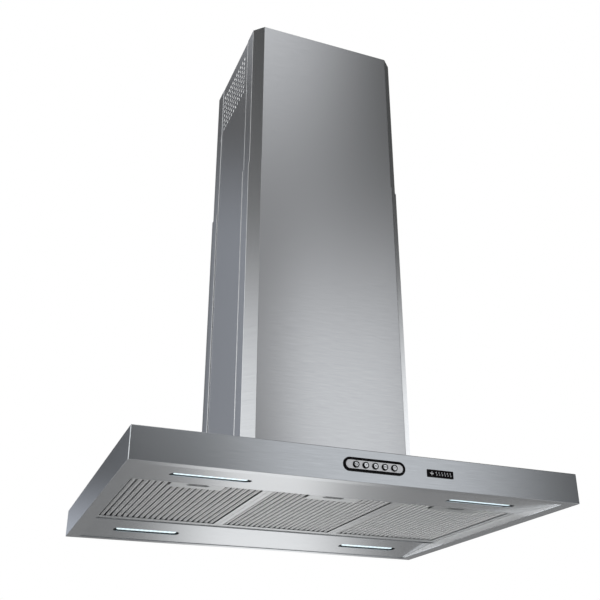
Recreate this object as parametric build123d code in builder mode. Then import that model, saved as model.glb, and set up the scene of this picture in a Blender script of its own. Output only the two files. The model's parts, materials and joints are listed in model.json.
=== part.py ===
from build123d import *
from math import cos, pi, sin
import os

# Island range hood that hangs from a ceiling: canopy below, telescoping duct cover above.
# Millimetres, +Z up, +X to the right of someone facing the control panel, -Y towards them.
# The origin is the centre of the ceiling plate's top face, so everything lies below Z = 0.

# overall sizes
overall_drop = 988.0
canopy_width = 750.0
canopy_depth = 600.0
canopy_height = 50.0
cover_width = 320.0
cover_depth = 288.0
cover_chamfer = 20.0
flange_end = 87.0
lower_cover_height = 605.0
upper_cover_height = 560.0

# sheet metal and fits
sheet = 0.8
canopy_sheet = 1.0
slide_gap = 0.3
running_gap = 0.05
panel_lap = 10.0

# heights worked out from the driving sizes
canopy_bottom = -overall_drop
canopy_top = canopy_bottom + canopy_height
lower_cover_top = canopy_top + lower_cover_height
upper_cover_bottom = -upper_cover_height

# the upper cover slides inside the lower one
upper_cover_width = cover_width - 4 * sheet - 2 * slide_gap
upper_cover_depth = cover_depth - 2 * sheet - 2 * slide_gap
upper_cover_chamfer = cover_chamfer - 1.0

# hanging frame
plate_thickness = 3.0
plate_flange = 22.0
duct_hole_radius = 110.0
ceiling_bolt_x = 240.0
ceiling_bolt_y = 200.0
ceiling_bolt_radius = 4.5
upright_corner_x = 145.0
upright_corner_y = 129.0
upright_leg = 24.0
upright_steel = 2.0
lower_upright_height = 598.0
upright_slot = 30.0
upright_slot_width = 6.5
upper_slot_rises = (40.0, 90.0, 140.0)
lower_slot_drops = (40.0, 90.0)
foot_size = 24.0
foot_hole_radius = 3.2
ring_hole_radius = 110.0
stiffener_gap = 45.0
side_stiffener_gap = 39.0
ring_flange = 15.0
clip_x = 70.0
clip_length = 30.0
clip_height = 26.0
clip_sheet = 1.5
cable_x = 70.4
cable_y = 70.4

# canopy underside
side_lip = 25.0
end_lip = 16.0
corner_fold = 1.6
top_fold = 1.0
lip_fold = 0.6
light_panel_rise = 10.3
filter_bay_half = 156.0
bay_half_width = canopy_width / 2 - side_lip
panel_run = canopy_depth / 2 - end_lip - filter_bay_half
panel_slope = (light_panel_rise - canopy_sheet) / panel_run
bay_wall_top = 38.0
panel_foot = 11.0
rail_foot = 14.0
latch_slot_width = 34.0
latch_slot_height = 5.0
intake_half_x = 100.0
intake_half_y = 95.0

# vents in the upper side panels
vent_columns = 11
vent_rows = 8
vent_pitch_y = 14.0
vent_pitch_z = 12.4
vent_radius = 3.5
vent_centre_y = 2.0
vent_centre_z = canopy_bottom + 914.0

# screws that hold the cover flanges to the side panels
cover_screw_y = 91.5
cover_screw_z = canopy_bottom + 851.0
cover_screw_head_radius = 2.6
cover_screw_head = 1.1
cover_screw_radius = 1.2
cover_screw_length = 3.5
cover_screw_round = 0.6

# lights
light_x = 234.0
light_y = 221.0
light_length = 127.0
light_width = 24.0
light_corner = 9.5
housing_wall = 4.0
housing_depth = 12.0
lens_length = 117.0
lens_width = 16.5
lens_shift = 0.8
lens_thickness = 4.0
lens_recess = 1.5
lens_round = 1.5
tray_roof = 1.5
board_length = 116.0
board_width = 15.0

# controls on the front face
front_face = -canopy_depth / 2
control_z = canopy_bottom + 26.3
bezel_length = 104.0
bezel_height = 21.5
bezel_ring = 4.0
bezel_proud = 2.0
bezel_overlap = 3.5
bezel_round = 0.7
plate_proud = 1.2
control_plate_thickness = 2.0
switch_depth = 15.0
switch_bore = 13.0
button_proud = 3.6
button_count = 5
button_pitch = 16.1
button_radius = 5.0
button_gap = 0.3
button_length = 13.0
button_round = 0.7
first_button_x = -31.4
badge_length = 47.0
badge_height = 12.2
badge_x = 113.7
badge_z = canopy_bottom + 24.9
badge_thickness = 0.8
badge_corner = 1.4
badge_edge = 0.25

# filters
filter_pitch = 232.8
filter_width = 232.2
filter_half_depth = 155.0
filter_bottom = canopy_bottom + 12.0
filter_height = 14.0
side_rim = 8.5
front_rim = 7.0
rear_rim = 19.0
rib_count = 20
rib_pitch = 10.2
rib_width = 6.6
rib_height = 4.0
roof_width = 7.2
roof_bottom = 3.0
roof_top = 6.8
rib_sheet = 0.6
latch_plate_length = 87.6
latch_plate_depth = 33.0
finger_slot_length = 37.0
finger_slot_depth = 13.0
finger_slot_y = -143.0
hinge_tab_x = 80.0
hinge_tab_width = 16.0
hinge_tab_length = 5.6
hinge_bead_radius = 0.7
hinge_y = filter_half_depth + 0.4
hinge_z = filter_bottom + 0.4
latch_bolt_width = 30.0
latch_length = 46.0
latch_thickness = 1.6

# blower
box_half_x = 114.0
box_half_y = 120.0
box_height = 250.0
box_sheet = 1.2
box_corner = 3.0
box_top = canopy_top + box_height
collar_radius = 74.5
collar_wall = 1.2
collar_height = 40.0
collar_flange = 11.0
collar_flange_sheet = 1.5
flap_gap = 1.0
flap_thickness = 1.0
wheel_radius = 60.0
wheel_half = 46.0
blade_count = 36
blade_width = 9.0
blade_thickness = 1.2
blade_turn = 35.0
ring_width = 11.0
ring_thickness = 3.0
hub_radius = 11.0
hub_length = 24.0
scroll_half = 56.0
scroll_sheet = 1.2
inlet_lip = 6.0
inlet_thickness = 4.0
inlet_round = 1.5
scroll_y = 26.0
scroll_z = canopy_top + 112.0
scroll_start = 66.0
scroll_growth = 26.0
inlet_radius = 48.0
shaft_radius = 5.0
shaft_reach = 30.0
motor_radius = 44.0
motor_length = 42.0
motor_gap = 6.0
motor_step = 6.0
bearing_radius = 14.0
strap_depth = 18.0
strap_width = 8.0
leg_width = 12.0
leg_thickness = 5.0
control_box_length = 110.0
control_box_height = 84.0
control_box_depth = 34.0
control_box_rise = 60.0
control_box_round = 2.0
gland_bore_radius = 4.0
gland_thread_radius = 6.0
gland_cap_radius = 8.0
gland_cap_height = 13.0
gland_hex_radius = 10.0
gland_hex_height = 5.0
gland_round = 2.5
gland_clearance = 0.1
damper_z = box_top + 20.0
damper_pin_radius = 2.0
damper_knuckle = 3.4

os.makedirs("parts", exist_ok=True)


def each_corner(x, y):
    """Lists the four points (+-x, +-y)."""
    return [(sx * x, sy * y) for sx in (-1, 1) for sy in (-1, 1)]


def cover_shell(name, width, depth, corner, bottom, height, side):
    """One folded half of a duct cover: a face, two chamfers and two side flanges."""
    with BuildPart() as cover:
        with BuildSketch(Plane.XY.offset(bottom)) as outline:
            Rectangle(width, depth)
            chamfer(outline.vertices(), corner)
            offset(amount=-sheet, mode=Mode.SUBTRACT)
            with Locations((0, side * (depth / 4 + flange_end / 2))):
                Rectangle(width, depth / 2 - flange_end, mode=Mode.INTERSECT)
        extrude(amount=height)
    cover.part.label = name
    export_step(cover.part, f"parts/{name}.step")


def side_panel(name, width, bottom, height, side, vented):
    """Flat sheet behind the flanges of both half covers, with air holes near the ceiling."""
    outer_x = width / 2 - sheet
    with BuildPart() as panel:
        with BuildSketch(Plane.YZ.offset(side * outer_x)):
            with Locations((0, bottom + height / 2)):
                Rectangle(2 * (flange_end + panel_lap), height)
            if vented:
                with Locations((vent_centre_y, vent_centre_z)):
                    with GridLocations(vent_pitch_y, vent_pitch_z, vent_columns, vent_rows):
                        Circle(vent_radius, mode=Mode.SUBTRACT)
        extrude(amount=-side * sheet)
    panel.part.label = name
    export_step(panel.part, f"parts/{name}.step")


def ceiling_plate():
    half_x = upright_corner_x
    half_y = upright_corner_y
    with BuildPart() as plate:
        with BuildSketch():
            Rectangle(2 * half_x, 2 * half_y)
            Circle(duct_hole_radius, mode=Mode.SUBTRACT)
            with GridLocations(ceiling_bolt_x, ceiling_bolt_y, 2, 2):
                Circle(ceiling_bolt_radius, mode=Mode.SUBTRACT)
        extrude(amount=-plate_thickness)
        # turned-down edges stiffen the plate between the uprights
        with BuildSketch(Plane.XY.offset(-plate_thickness)):
            with Locations((0, half_y - upright_steel / 2), (0, upright_steel / 2 - half_y)):
                Rectangle(2 * (half_x - stiffener_gap), upright_steel)
            with Locations((half_x - upright_steel / 2, 0), (upright_steel / 2 - half_x, 0)):
                Rectangle(upright_steel, 2 * (half_y - side_stiffener_gap))
        extrude(amount=-plate_flange)
    plate.part.label = "ceiling_plate"
    export_step(plate.part, "parts/ceiling_plate.step")


def upright_set(name, corner_x, corner_y, leg, bottom, top, slots):
    """Four steel angles, one in each corner of the chimney, with adjusting slots."""
    with BuildPart() as angles:
        with BuildSketch(Plane.XY.offset(bottom)):
            for x, y in each_corner(1, 1):
                with Locations((x * (corner_x - leg / 2), y * (corner_y - upright_steel / 2))):
                    Rectangle(leg, upright_steel)
                with Locations((x * (corner_x - upright_steel / 2), y * (corner_y - leg / 2))):
                    Rectangle(upright_steel, leg)
        extrude(amount=top - bottom)
        with BuildSketch(Plane.YZ):
            for side in (-1, 1):
                for z in slots:
                    with Locations((side * (corner_y - (leg + upright_steel) / 2), z)):
                        SlotOverall(upright_slot, upright_slot_width, rotation=90)
        extrude(amount=corner_x + upright_steel, both=True, mode=Mode.SUBTRACT)
    angles.part.label = name
    export_step(angles.part, f"parts/{name}.step")


def frame_feet(corner_x, corner_y):
    """Foot plates that stand the lower uprights on the canopy top."""
    hole = foot_size / 2 + upright_steel
    with BuildPart() as feet:
        with BuildSketch(Plane.XY.offset(canopy_top)):
            with Locations(*each_corner(corner_x - foot_size / 2, corner_y - foot_size / 2)):
                Rectangle(foot_size, foot_size)
            with Locations(*each_corner(corner_x - hole, corner_y - hole)):
                Circle(foot_hole_radius, mode=Mode.SUBTRACT)
        extrude(amount=upright_steel)
    feet.part.label = "frame_feet"
    export_step(feet.part, "parts/frame_feet.step")


def tie_ring(inner_x, inner_y, top):
    """Ring plate that holds the four lower uprights square and lets the duct through."""
    with BuildPart() as ring:
        with BuildSketch(Plane.XY.offset(top - upright_steel)):
            Rectangle(2 * inner_x, 2 * inner_y)
            Circle(ring_hole_radius, mode=Mode.SUBTRACT)
        extrude(amount=upright_steel)
        with BuildSketch(Plane.XY.offset(top - upright_steel)):
            with Locations((0, inner_y - upright_steel / 2), (0, upright_steel / 2 - inner_y)):
                Rectangle(2 * (inner_x - upright_leg - stiffener_gap), upright_steel)
        extrude(amount=-ring_flange)
    ring.part.label = "tie_ring"
    export_step(ring.part, "parts/tie_ring.step")


def cover_clips(name, face_y, level, up):
    """Angle clips that hold a half cover to the plate or canopy it ends at."""
    with BuildPart() as clips:
        with BuildSketch(Plane.XY.offset(level)):
            with Locations(*each_corner(clip_x, (face_y + upright_corner_y) / 2)):
                Rectangle(clip_length, face_y - upright_corner_y)
        extrude(amount=up * clip_sheet)
        with BuildSketch(Plane.XY.offset(level)):
            with Locations(*each_corner(clip_x, face_y - clip_sheet / 2)):
                Rectangle(clip_length, clip_sheet)
        extrude(amount=up * clip_height)
    clips.part.label = name
    export_step(clips.part, f"parts/{name}.step")


def cover_screws(name, width):
    """Pan-head screws that join the cover flanges to the side panels: heads outside, tips inside."""
    places = [(-cover_screw_y, cover_screw_z), (cover_screw_y, cover_screw_z)]
    rim_x = width / 2 + cover_screw_head
    with BuildPart() as screws:
        for side in (-1, 1):
            with BuildSketch(Plane.YZ.offset(side * width / 2)):
                with Locations(*places):
                    Circle(cover_screw_head_radius)
            extrude(amount=side * cover_screw_head)
            with BuildSketch(Plane.YZ.offset(side * (width / 2 - 2 * sheet))):
                with Locations(*places):
                    Circle(cover_screw_radius)
            extrude(amount=-side * cover_screw_length)
        rims = screws.edges().filter_by(GeomType.CIRCLE).filter_by(
            lambda edge: abs(abs(edge.center().X) - rim_x) < 0.01)
        fillet(rims, cover_screw_round)
    screws.part.label = name
    export_step(screws.part, f"parts/{name}.step")


def canopy_shell():
    """Folded and welded body: top, four walls and a turned-in lip all round the bottom."""
    with BuildPart() as shell:
        with BuildSketch(Plane.XY.offset(canopy_bottom)):
            Rectangle(canopy_width, canopy_depth)
        extrude(amount=canopy_height)
        fillet(shell.edges().filter_by(Axis.Z), corner_fold)
        fillet(shell.faces().sort_by(Axis.Z)[-1].edges(), top_fold)
        fillet(shell.faces().sort_by(Axis.Z)[0].edges(), lip_fold)
        with BuildSketch(Plane.XY.offset(canopy_bottom + canopy_sheet)):
            Rectangle(canopy_width - 2 * canopy_sheet, canopy_depth - 2 * canopy_sheet)
        extrude(amount=canopy_height - 2 * canopy_sheet, mode=Mode.SUBTRACT)
        with BuildSketch(Plane.XY.offset(canopy_bottom)):
            Rectangle(2 * bay_half_width, canopy_depth - 2 * end_lip)
        extrude(amount=canopy_sheet, mode=Mode.SUBTRACT)
        with BuildSketch(Plane.XY.offset(canopy_top - canopy_sheet)):
            Rectangle(2 * intake_half_x, 2 * intake_half_y)
        extrude(amount=canopy_sheet, mode=Mode.SUBTRACT)
        with BuildSketch(Plane.XZ.offset(-front_face)):
            with Locations((0, control_z)):
                SlotOverall(bezel_length - 2 * bezel_overlap, bezel_height - 2 * bezel_overlap)
        extrude(amount=-canopy_sheet, mode=Mode.SUBTRACT)
    shell.part.label = "canopy_shell"
    export_step(shell.part, "parts/canopy_shell.step")


def light_plane(side):
    """Plane on the visible side of a sloping light panel, Z pointing into the hood."""
    middle = canopy_bottom + canopy_sheet + panel_slope * (filter_bay_half + panel_run - light_y)
    return Plane(origin=(0, side * light_y, middle), x_dir=(1, 0, 0), z_dir=(0, side * panel_slope, 1))


def light_panel(name, side):
    """Sloping sheet that carries two lights, with a flange that frames the filter bay."""
    outer = filter_bay_half + panel_run
    low = canopy_bottom + canopy_sheet
    inner_top = canopy_bottom + light_panel_rise + sheet * (1 - panel_slope)
    with BuildPart() as panel:
        with BuildSketch(Plane.YZ):
            with BuildLine():
                Polyline(
                    (side * (outer + panel_foot), low),
                    (side * outer, low),
                    (side * filter_bay_half, canopy_bottom + light_panel_rise),
                    (side * filter_bay_half, canopy_bottom + bay_wall_top),
                    (side * (filter_bay_half + sheet), canopy_bottom + bay_wall_top),
                    (side * (filter_bay_half + sheet), inner_top),
                    (side * outer, low + sheet),
                    (side * (outer + panel_foot), low + sheet),
                    close=True,
                )
            make_face()
        extrude(amount=bay_half_width - 0.2, both=True)
        with BuildSketch(light_plane(side)):
            with Locations((light_x, 0), (-light_x, 0)):
                RectangleRounded(light_length, light_width, light_corner)
        extrude(amount=4, both=True, mode=Mode.SUBTRACT)
        # slots for the latch bolts in front, and for the hinge tabs behind
        with BuildSketch(Plane.XZ):
            for centre in (-filter_pitch, 0, filter_pitch):
                if side < 0:
                    with Locations((centre, canopy_bottom + 16)):
                        Rectangle(latch_slot_width, latch_slot_height)
                else:
                    with Locations((centre - hinge_tab_x, canopy_bottom + 15.8),
                                   (centre + hinge_tab_x, canopy_bottom + 15.8)):
                        Rectangle(hinge_tab_width + 2, 8.4)
        extrude(amount=-side * (filter_bay_half + 4), mode=Mode.SUBTRACT)
    panel.part.label = name
    export_step(panel.part, f"parts/{name}.step")


def side_rail(name, side):
    """Upright wall at the end of the filter bay, with a foot on the canopy lip."""
    with BuildPart() as rail:
        with BuildSketch(Plane.XZ):
            with BuildLine():
                Polyline(
                    (side * bay_half_width, canopy_bottom + canopy_sheet),
                    (side * (bay_half_width + rail_foot), canopy_bottom + canopy_sheet),
                    (side * (bay_half_width + rail_foot), canopy_bottom + canopy_sheet + sheet),
                    (side * (bay_half_width + sheet), canopy_bottom + canopy_sheet + sheet),
                    (side * (bay_half_width + sheet), canopy_bottom + bay_wall_top),
                    (side * bay_half_width, canopy_bottom + bay_wall_top),
                    close=True,
                )
            make_face()
        extrude(amount=canopy_depth / 2 - end_lip, both=True)
    rail.part.label = name
    export_step(rail.part, f"parts/{name}.step")


def led_housings():
    """Four trays over the light slots, open downwards."""
    with BuildPart() as trays:
        for side in (-1, 1):
            with BuildSketch(light_plane(side).offset(sheet)):
                with Locations((light_x, 0), (-light_x, 0)):
                    RectangleRounded(light_length + 2 * housing_wall, light_width + 2 * housing_wall,
                                     light_corner + housing_wall)
            extrude(amount=housing_depth)
            with BuildSketch(light_plane(side).offset(sheet)):
                with Locations((light_x, 0), (-light_x, 0)):
                    RectangleRounded(light_length, light_width, light_corner)
            extrude(amount=housing_depth - tray_roof, mode=Mode.SUBTRACT)
    trays.part.label = "led_housings"
    export_step(trays.part, "parts/led_housings.step")


def led_lens(name, x, side):
    """Frosted bar lens, rounded at its ends and crowned at its lower edges."""
    with BuildPart() as lens:
        with BuildSketch(light_plane(side).offset(lens_recess)):
            with Locations((x, -side * lens_shift)):
                SlotOverall(lens_length, lens_width)
        extrude(amount=lens_thickness)
        fillet(lens.edges().group_by(Axis.Z)[0], lens_round)
    lens.part.label = name
    export_step(lens.part, f"parts/{name}.step")


def led_boards():
    """Light boards behind the lenses, held against the tray roof."""
    with BuildPart() as boards:
        for side in (-1, 1):
            with BuildSketch(light_plane(side).offset(lens_recess + lens_thickness)):
                with Locations((light_x, 0), (-light_x, 0)):
                    Rectangle(board_length, board_width)
            extrude(amount=sheet + housing_depth - tray_roof - lens_recess - lens_thickness)
    boards.part.label = "led_boards"
    export_step(boards.part, "parts/led_boards.step")


def control_bezel():
    with BuildPart() as bezel:
        with BuildSketch(Plane.XZ.offset(-front_face)):
            with Locations((0, control_z)):
                SlotOverall(bezel_length, bezel_height)
                SlotOverall(bezel_length - 2 * bezel_ring, bezel_height - 2 * bezel_ring,
                            mode=Mode.SUBTRACT)
        extrude(amount=bezel_proud)
        fillet(bezel.faces().sort_by(Axis.Y)[0].edges(), bezel_round)
    bezel.part.label = "control_bezel"
    export_step(bezel.part, "parts/control_bezel.step")


def button_places():
    return [(first_button_x + button_pitch * i, control_z) for i in range(button_count)]


def control_plate():
    with BuildPart() as plate:
        with BuildSketch(Plane.XZ.offset(-front_face + plate_proud)):
            with Locations((0, control_z)):
                SlotOverall(bezel_length - 2 * bezel_ring - 0.2, bezel_height - 2 * bezel_ring - 0.2)
            with Locations(*button_places()):
                Circle(button_radius + button_gap, mode=Mode.SUBTRACT)
        extrude(amount=-control_plate_thickness)
    plate.part.label = "control_plate"
    export_step(plate.part, "parts/control_plate.step")


def switch_body():
    """Moulded switch block behind the plate, with one guide bore for each button."""
    front = -front_face + plate_proud - control_plate_thickness
    with BuildPart() as block:
        with BuildSketch(Plane.XZ.offset(front)):
            with Locations((0, control_z)):
                SlotOverall(bezel_length - 2 * bezel_ring - 0.6, bezel_height - 2 * bezel_ring - 0.6)
        extrude(amount=-switch_depth)
        with BuildSketch(Plane.XZ.offset(front)):
            with Locations(*button_places()):
                Circle(button_radius + button_gap)
        extrude(amount=-switch_bore, mode=Mode.SUBTRACT)
    block.part.label = "switch_body"
    export_step(block.part, "parts/switch_body.step")


def button(name, place):
    """Round push button with a rounded front rim."""
    with BuildPart() as cap:
        with BuildSketch(Plane.XZ.offset(-front_face + button_proud)):
            with Locations(place):
                Circle(button_radius)
        extrude(amount=-button_length)
        fillet(cap.faces().sort_by(Axis.Y)[0].edges(), button_round)
    cap.part.label = name
    export_step(cap.part, f"parts/{name}.step")


def badge():
    with BuildPart() as plate:
        with BuildSketch(Plane.XZ.offset(-front_face)):
            with Locations((badge_x, badge_z)):
                RectangleRounded(badge_length, badge_height, badge_corner)
        extrude(amount=badge_thickness)
        chamfer(plate.faces().sort_by(Axis.Y)[0].edges(), badge_edge)
    plate.part.label = "badge"
    export_step(plate.part, "parts/badge.step")


def filter_frame(name, centre):
    """C-channel rim of one filter, with its latch plate and two hinge tabs."""
    left = centre - filter_width / 2
    with BuildPart() as frame:
        with BuildSketch(Plane.XY.offset(filter_bottom)):
            with Locations((centre, 0)):
                RectangleRounded(filter_width, 2 * filter_half_depth, 2.5)
        extrude(amount=filter_height)
        with BuildSketch(Plane.XY.offset(filter_bottom + sheet)):
            with Locations((centre, 0)):
                Rectangle(filter_width - 2 * sheet, 2 * (filter_half_depth - sheet))
        extrude(amount=filter_height - 2 * sheet, mode=Mode.SUBTRACT)
        window_low = -filter_half_depth + front_rim
        window_high = filter_half_depth - rear_rim
        with BuildSketch(Plane.XY.offset(filter_bottom)):
            with Locations((centre, (window_low + window_high) / 2)):
                Rectangle(filter_width - 2 * side_rim, window_high - window_low)
        extrude(amount=filter_height, mode=Mode.SUBTRACT)
        with BuildSketch(Plane.XY.offset(filter_bottom)):
            with Locations((centre, -filter_half_depth + latch_plate_depth / 2 + sheet)):
                Rectangle(latch_plate_length, latch_plate_depth)
            with Locations((centre, finger_slot_y)):
                RectangleRounded(finger_slot_length, finger_slot_depth, 5, mode=Mode.SUBTRACT)
        extrude(amount=sheet)
        with BuildSketch(Plane.XY.offset(filter_bottom)):
            with Locations((centre - hinge_tab_x, filter_half_depth + hinge_tab_length / 2),
                           (centre + hinge_tab_x, filter_half_depth + hinge_tab_length / 2)):
                Rectangle(hinge_tab_width, hinge_tab_length)
        extrude(amount=sheet)
        # round beads at the roots of the tabs, on the hinge axis
        for x in (centre - hinge_tab_x, centre + hinge_tab_x):
            with BuildSketch(Plane.YZ.offset(x - hinge_tab_width / 2)):
                with Locations((hinge_y, hinge_z)):
                    Circle(hinge_bead_radius)
            extrude(amount=hinge_tab_width)
        # the latch bolt comes out through the front wall
        with BuildSketch(Plane.XZ.offset(filter_half_depth)):
            with Locations((centre, filter_bottom + sheet + 1.05)):
                Rectangle(latch_bolt_width + 1, 1.9)
        extrude(amount=-sheet, mode=Mode.SUBTRACT)
    frame.part.label = name
    export_step(frame.part, f"parts/{name}.step")


def baffle_set(name, centre):
    """Lower channels catch the grease and upper channels roof over the gaps between them."""
    length_front = -filter_half_depth + sheet
    length_rear = filter_half_depth - sheet
    behind_latch = -filter_half_depth + latch_plate_depth - 2
    low = filter_bottom + sheet
    foot = low + roof_bottom
    top = low + roof_top
    half = roof_width / 2
    with BuildPart() as baffles:
        for i in range(rib_count + 1):
            x = centre + (i - rib_count / 2) * rib_pitch
            beside_latch = abs(x - centre) > latch_plate_length / 2
            front = length_front if beside_latch else behind_latch
            with BuildSketch(Plane.XY.offset(low)):
                with Locations((x, (front + length_rear) / 2)):
                    Rectangle(rib_width, length_rear - front)
            extrude(amount=rib_height)
            with BuildSketch(Plane.XY.offset(low + rib_sheet)):
                with Locations((x, (front + length_rear) / 2)):
                    Rectangle(rib_width - 2 * rib_sheet, length_rear - front)
            extrude(amount=rib_height, mode=Mode.SUBTRACT)
        for i in range(rib_count):
            x = centre + (i + 0.5 - rib_count / 2) * rib_pitch
            with BuildSketch(Plane.XZ.offset(-length_front)):
                with BuildLine():
                    Polyline(
                        (x - half, foot),
                        (x - half, top),
                        (x + half, top),
                        (x + half, foot),
                        (x + half - rib_sheet, foot),
                        (x + half - rib_sheet, top - rib_sheet),
                        (x - half + rib_sheet, top - rib_sheet),
                        (x - half + rib_sheet, foot),
                        close=True,
                    )
                make_face()
            extrude(amount=length_front - length_rear)
    baffles.part.label = name
    export_step(baffles.part, f"parts/{name}.step")


def filter_latch(name, centre):
    """Sliding plate with a bolt in front and a turned-down finger edge in the slot."""
    low = filter_bottom + sheet + 0.2
    with BuildPart() as latch:
        with BuildSketch(Plane.XY.offset(low)):
            with Locations((centre, finger_slot_y + 2)):
                Rectangle(latch_length, 20)
            with Locations((centre, finger_slot_y - 10)):
                Rectangle(latch_bolt_width, 5.2)
            with Locations((centre, finger_slot_y - 3.5)):
                Rectangle(latch_bolt_width + 1, 6, mode=Mode.SUBTRACT)
        extrude(amount=latch_thickness)
        with BuildSketch(Plane.XY.offset(low + latch_thickness)):
            with Locations((centre, finger_slot_y + 0.1)):
                Rectangle(latch_bolt_width, 1.2)
        extrude(amount=-2.5)
    latch.part.label = name
    export_step(latch.part, f"parts/{name}.step")


def blower_box():
    """Four-sided sheet wall round the blower, standing over the air intake."""
    with BuildPart() as box:
        with BuildSketch(Plane.XY.offset(canopy_top)):
            RectangleRounded(2 * box_half_x, 2 * box_half_y, box_corner)
            Rectangle(2 * (box_half_x - box_sheet), 2 * (box_half_y - box_sheet), mode=Mode.SUBTRACT)
        extrude(amount=box_height - box_sheet)
    box.part.label = "blower_box"
    export_step(box.part, "parts/blower_box.step")


def blower_box_roof():
    """Roof sheet that closes the blower box; the duct collar and the cable gland stand on it."""
    with BuildPart() as roof:
        with BuildSketch(Plane.XY.offset(box_top)):
            RectangleRounded(2 * box_half_x, 2 * box_half_y, box_corner)
            Circle(collar_radius - collar_wall, mode=Mode.SUBTRACT)
            with Locations((cable_x, cable_y)):
                Circle(gland_thread_radius + gland_clearance, mode=Mode.SUBTRACT)
        extrude(amount=-box_sheet)
    roof.part.label = "blower_box_roof"
    export_step(roof.part, "parts/blower_box_roof.step")


def scroll_point(turn, grow):
    """Point of the spiral casing, starting beside the outlet and opening as it goes round."""
    angle = pi / 4 - turn * 1.25 * pi
    radius = scroll_start + scroll_growth * turn + grow
    return (scroll_y + radius * cos(angle), scroll_z + radius * sin(angle))


def scroll_outline(grow, top):
    """Closed outline of the spiral and its upward outlet."""
    points = [scroll_point(i / 6, grow) for i in range(7)]
    with BuildSketch(Plane.YZ.offset(-scroll_half)) as outline:
        with BuildLine():
            Spline(*points)
            Polyline(points[-1], (points[-1][0], top), (points[0][0], top), points[0])
        make_face()
    return outline.sketch


def scroll_housing():
    outer = scroll_outline(scroll_sheet, box_top - box_sheet)
    inner = scroll_outline(0, box_top - box_sheet + 1)
    with BuildPart() as scroll:
        extrude(outer, amount=2 * scroll_half, dir=(1, 0, 0))
        extrude(inner.moved(Location((scroll_sheet, 0, 0))), amount=2 * (scroll_half - scroll_sheet),
                dir=(1, 0, 0), mode=Mode.SUBTRACT)
        with BuildSketch(Plane.YZ):
            with Locations((scroll_y, scroll_z)):
                Circle(inlet_radius)
        extrude(amount=scroll_half + 1, both=True, mode=Mode.SUBTRACT)
    scroll.part.label = "scroll_housing"
    export_step(scroll.part, "parts/scroll_housing.step")


def inlet_rings():
    """Rounded rings that guide the air into both ends of the blower wheel."""
    with BuildPart() as rings:
        for side in (-1, 1):
            with BuildSketch(Plane.YZ.offset(side * scroll_half)):
                with Locations((scroll_y, scroll_z)):
                    Circle(inlet_radius + inlet_lip)
                    Circle(inlet_radius - 2, mode=Mode.SUBTRACT)
            extrude(amount=side * inlet_thickness)
        outer_rims = rings.edges().filter_by(GeomType.CIRCLE).filter_by(
            lambda edge: abs(edge.center().X) > scroll_half + inlet_thickness / 2)
        fillet(outer_rims, inlet_round)
    rings.part.label = "inlet_rings"
    export_step(rings.part, "parts/inlet_rings.step")


def impeller():
    """Double-inlet wheel: centre disc, hub, blades and two end rings."""
    bore = shaft_radius + 0.02
    with BuildPart() as wheel:
        with BuildSketch(Plane.YZ.offset(-wheel_half)):
            with Locations((scroll_y, scroll_z)):
                with PolarLocations(wheel_radius - ring_width / 2, blade_count):
                    Rectangle(blade_width, blade_thickness, rotation=blade_turn)
        extrude(amount=2 * wheel_half)
        # end rings, centre disc and hub
        for start, thick, outer, inner in (
            (-wheel_half, ring_thickness, wheel_radius, wheel_radius - ring_width),
            (wheel_half - ring_thickness, ring_thickness, wheel_radius, wheel_radius - ring_width),
            (-ring_thickness / 2, ring_thickness, wheel_radius, bore),
            (-hub_length / 2, hub_length, hub_radius, bore),
        ):
            with BuildSketch(Plane.YZ.offset(start)):
                with Locations((scroll_y, scroll_z)):
                    Circle(outer)
                    Circle(inner, mode=Mode.SUBTRACT)
            extrude(amount=thick)
    wheel.part.label = "impeller"
    export_step(wheel.part, "parts/impeller.step")


def motor_shaft():
    with BuildPart() as shaft:
        with BuildSketch(Plane.YZ.offset(-scroll_half - shaft_reach)):
            with Locations((scroll_y, scroll_z)):
                Circle(shaft_radius)
        extrude(amount=scroll_half + shaft_reach + hub_length / 2 + 3)
    shaft.part.label = "motor_shaft"
    export_step(shaft.part, "parts/motor_shaft.step")


def motor():
    """Round motor beside the left inlet, stepped at both ends, with a bearing bore."""
    start = -scroll_half - motor_gap
    with BuildPart() as body:
        # bearing boss, end bells and stator, from the wheel outwards
        for inset, length, radius in (
            (0, motor_step + 2, bearing_radius),
            (motor_step, motor_length - motor_step, motor_radius - motor_step),
            (2 * motor_step, motor_length - 3 * motor_step - 2, motor_radius),
        ):
            with BuildSketch(Plane.YZ.offset(start - inset)):
                with Locations((scroll_y, scroll_z)):
                    Circle(radius)
            extrude(amount=-length)
        with BuildSketch(Plane.YZ.offset(start)):
            with Locations((scroll_y, scroll_z)):
                Circle(shaft_radius + running_gap)
        extrude(amount=-(shaft_reach - motor_gap + 5), mode=Mode.SUBTRACT)
    body.part.label = "motor"
    export_step(body.part, "parts/motor.step")


def motor_bracket():
    """Three-legged spider that hangs the motor on the side of the spiral casing."""
    strap_radius = motor_radius + 4
    leg_reach = 13.0
    with BuildPart() as spider:
        with BuildSketch(Plane.YZ.offset(-scroll_half - strap_depth)):
            with Locations((scroll_y, scroll_z)):
                Circle(strap_radius)
                Circle(motor_radius, mode=Mode.SUBTRACT)
                with PolarLocations(strap_radius + leg_reach / 2 - 1.5, 3, start_angle=90):
                    Rectangle(leg_reach, leg_width)
        extrude(amount=-strap_width)
        with BuildSketch(Plane.YZ.offset(-scroll_half)):
            with Locations((scroll_y, scroll_z)):
                with PolarLocations(strap_radius + leg_reach - leg_thickness / 2, 3, start_angle=90):
                    Rectangle(leg_thickness, leg_width)
        extrude(amount=-(strap_depth + strap_width))
    spider.part.label = "motor_bracket"
    export_step(spider.part, "parts/motor_bracket.step")


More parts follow.
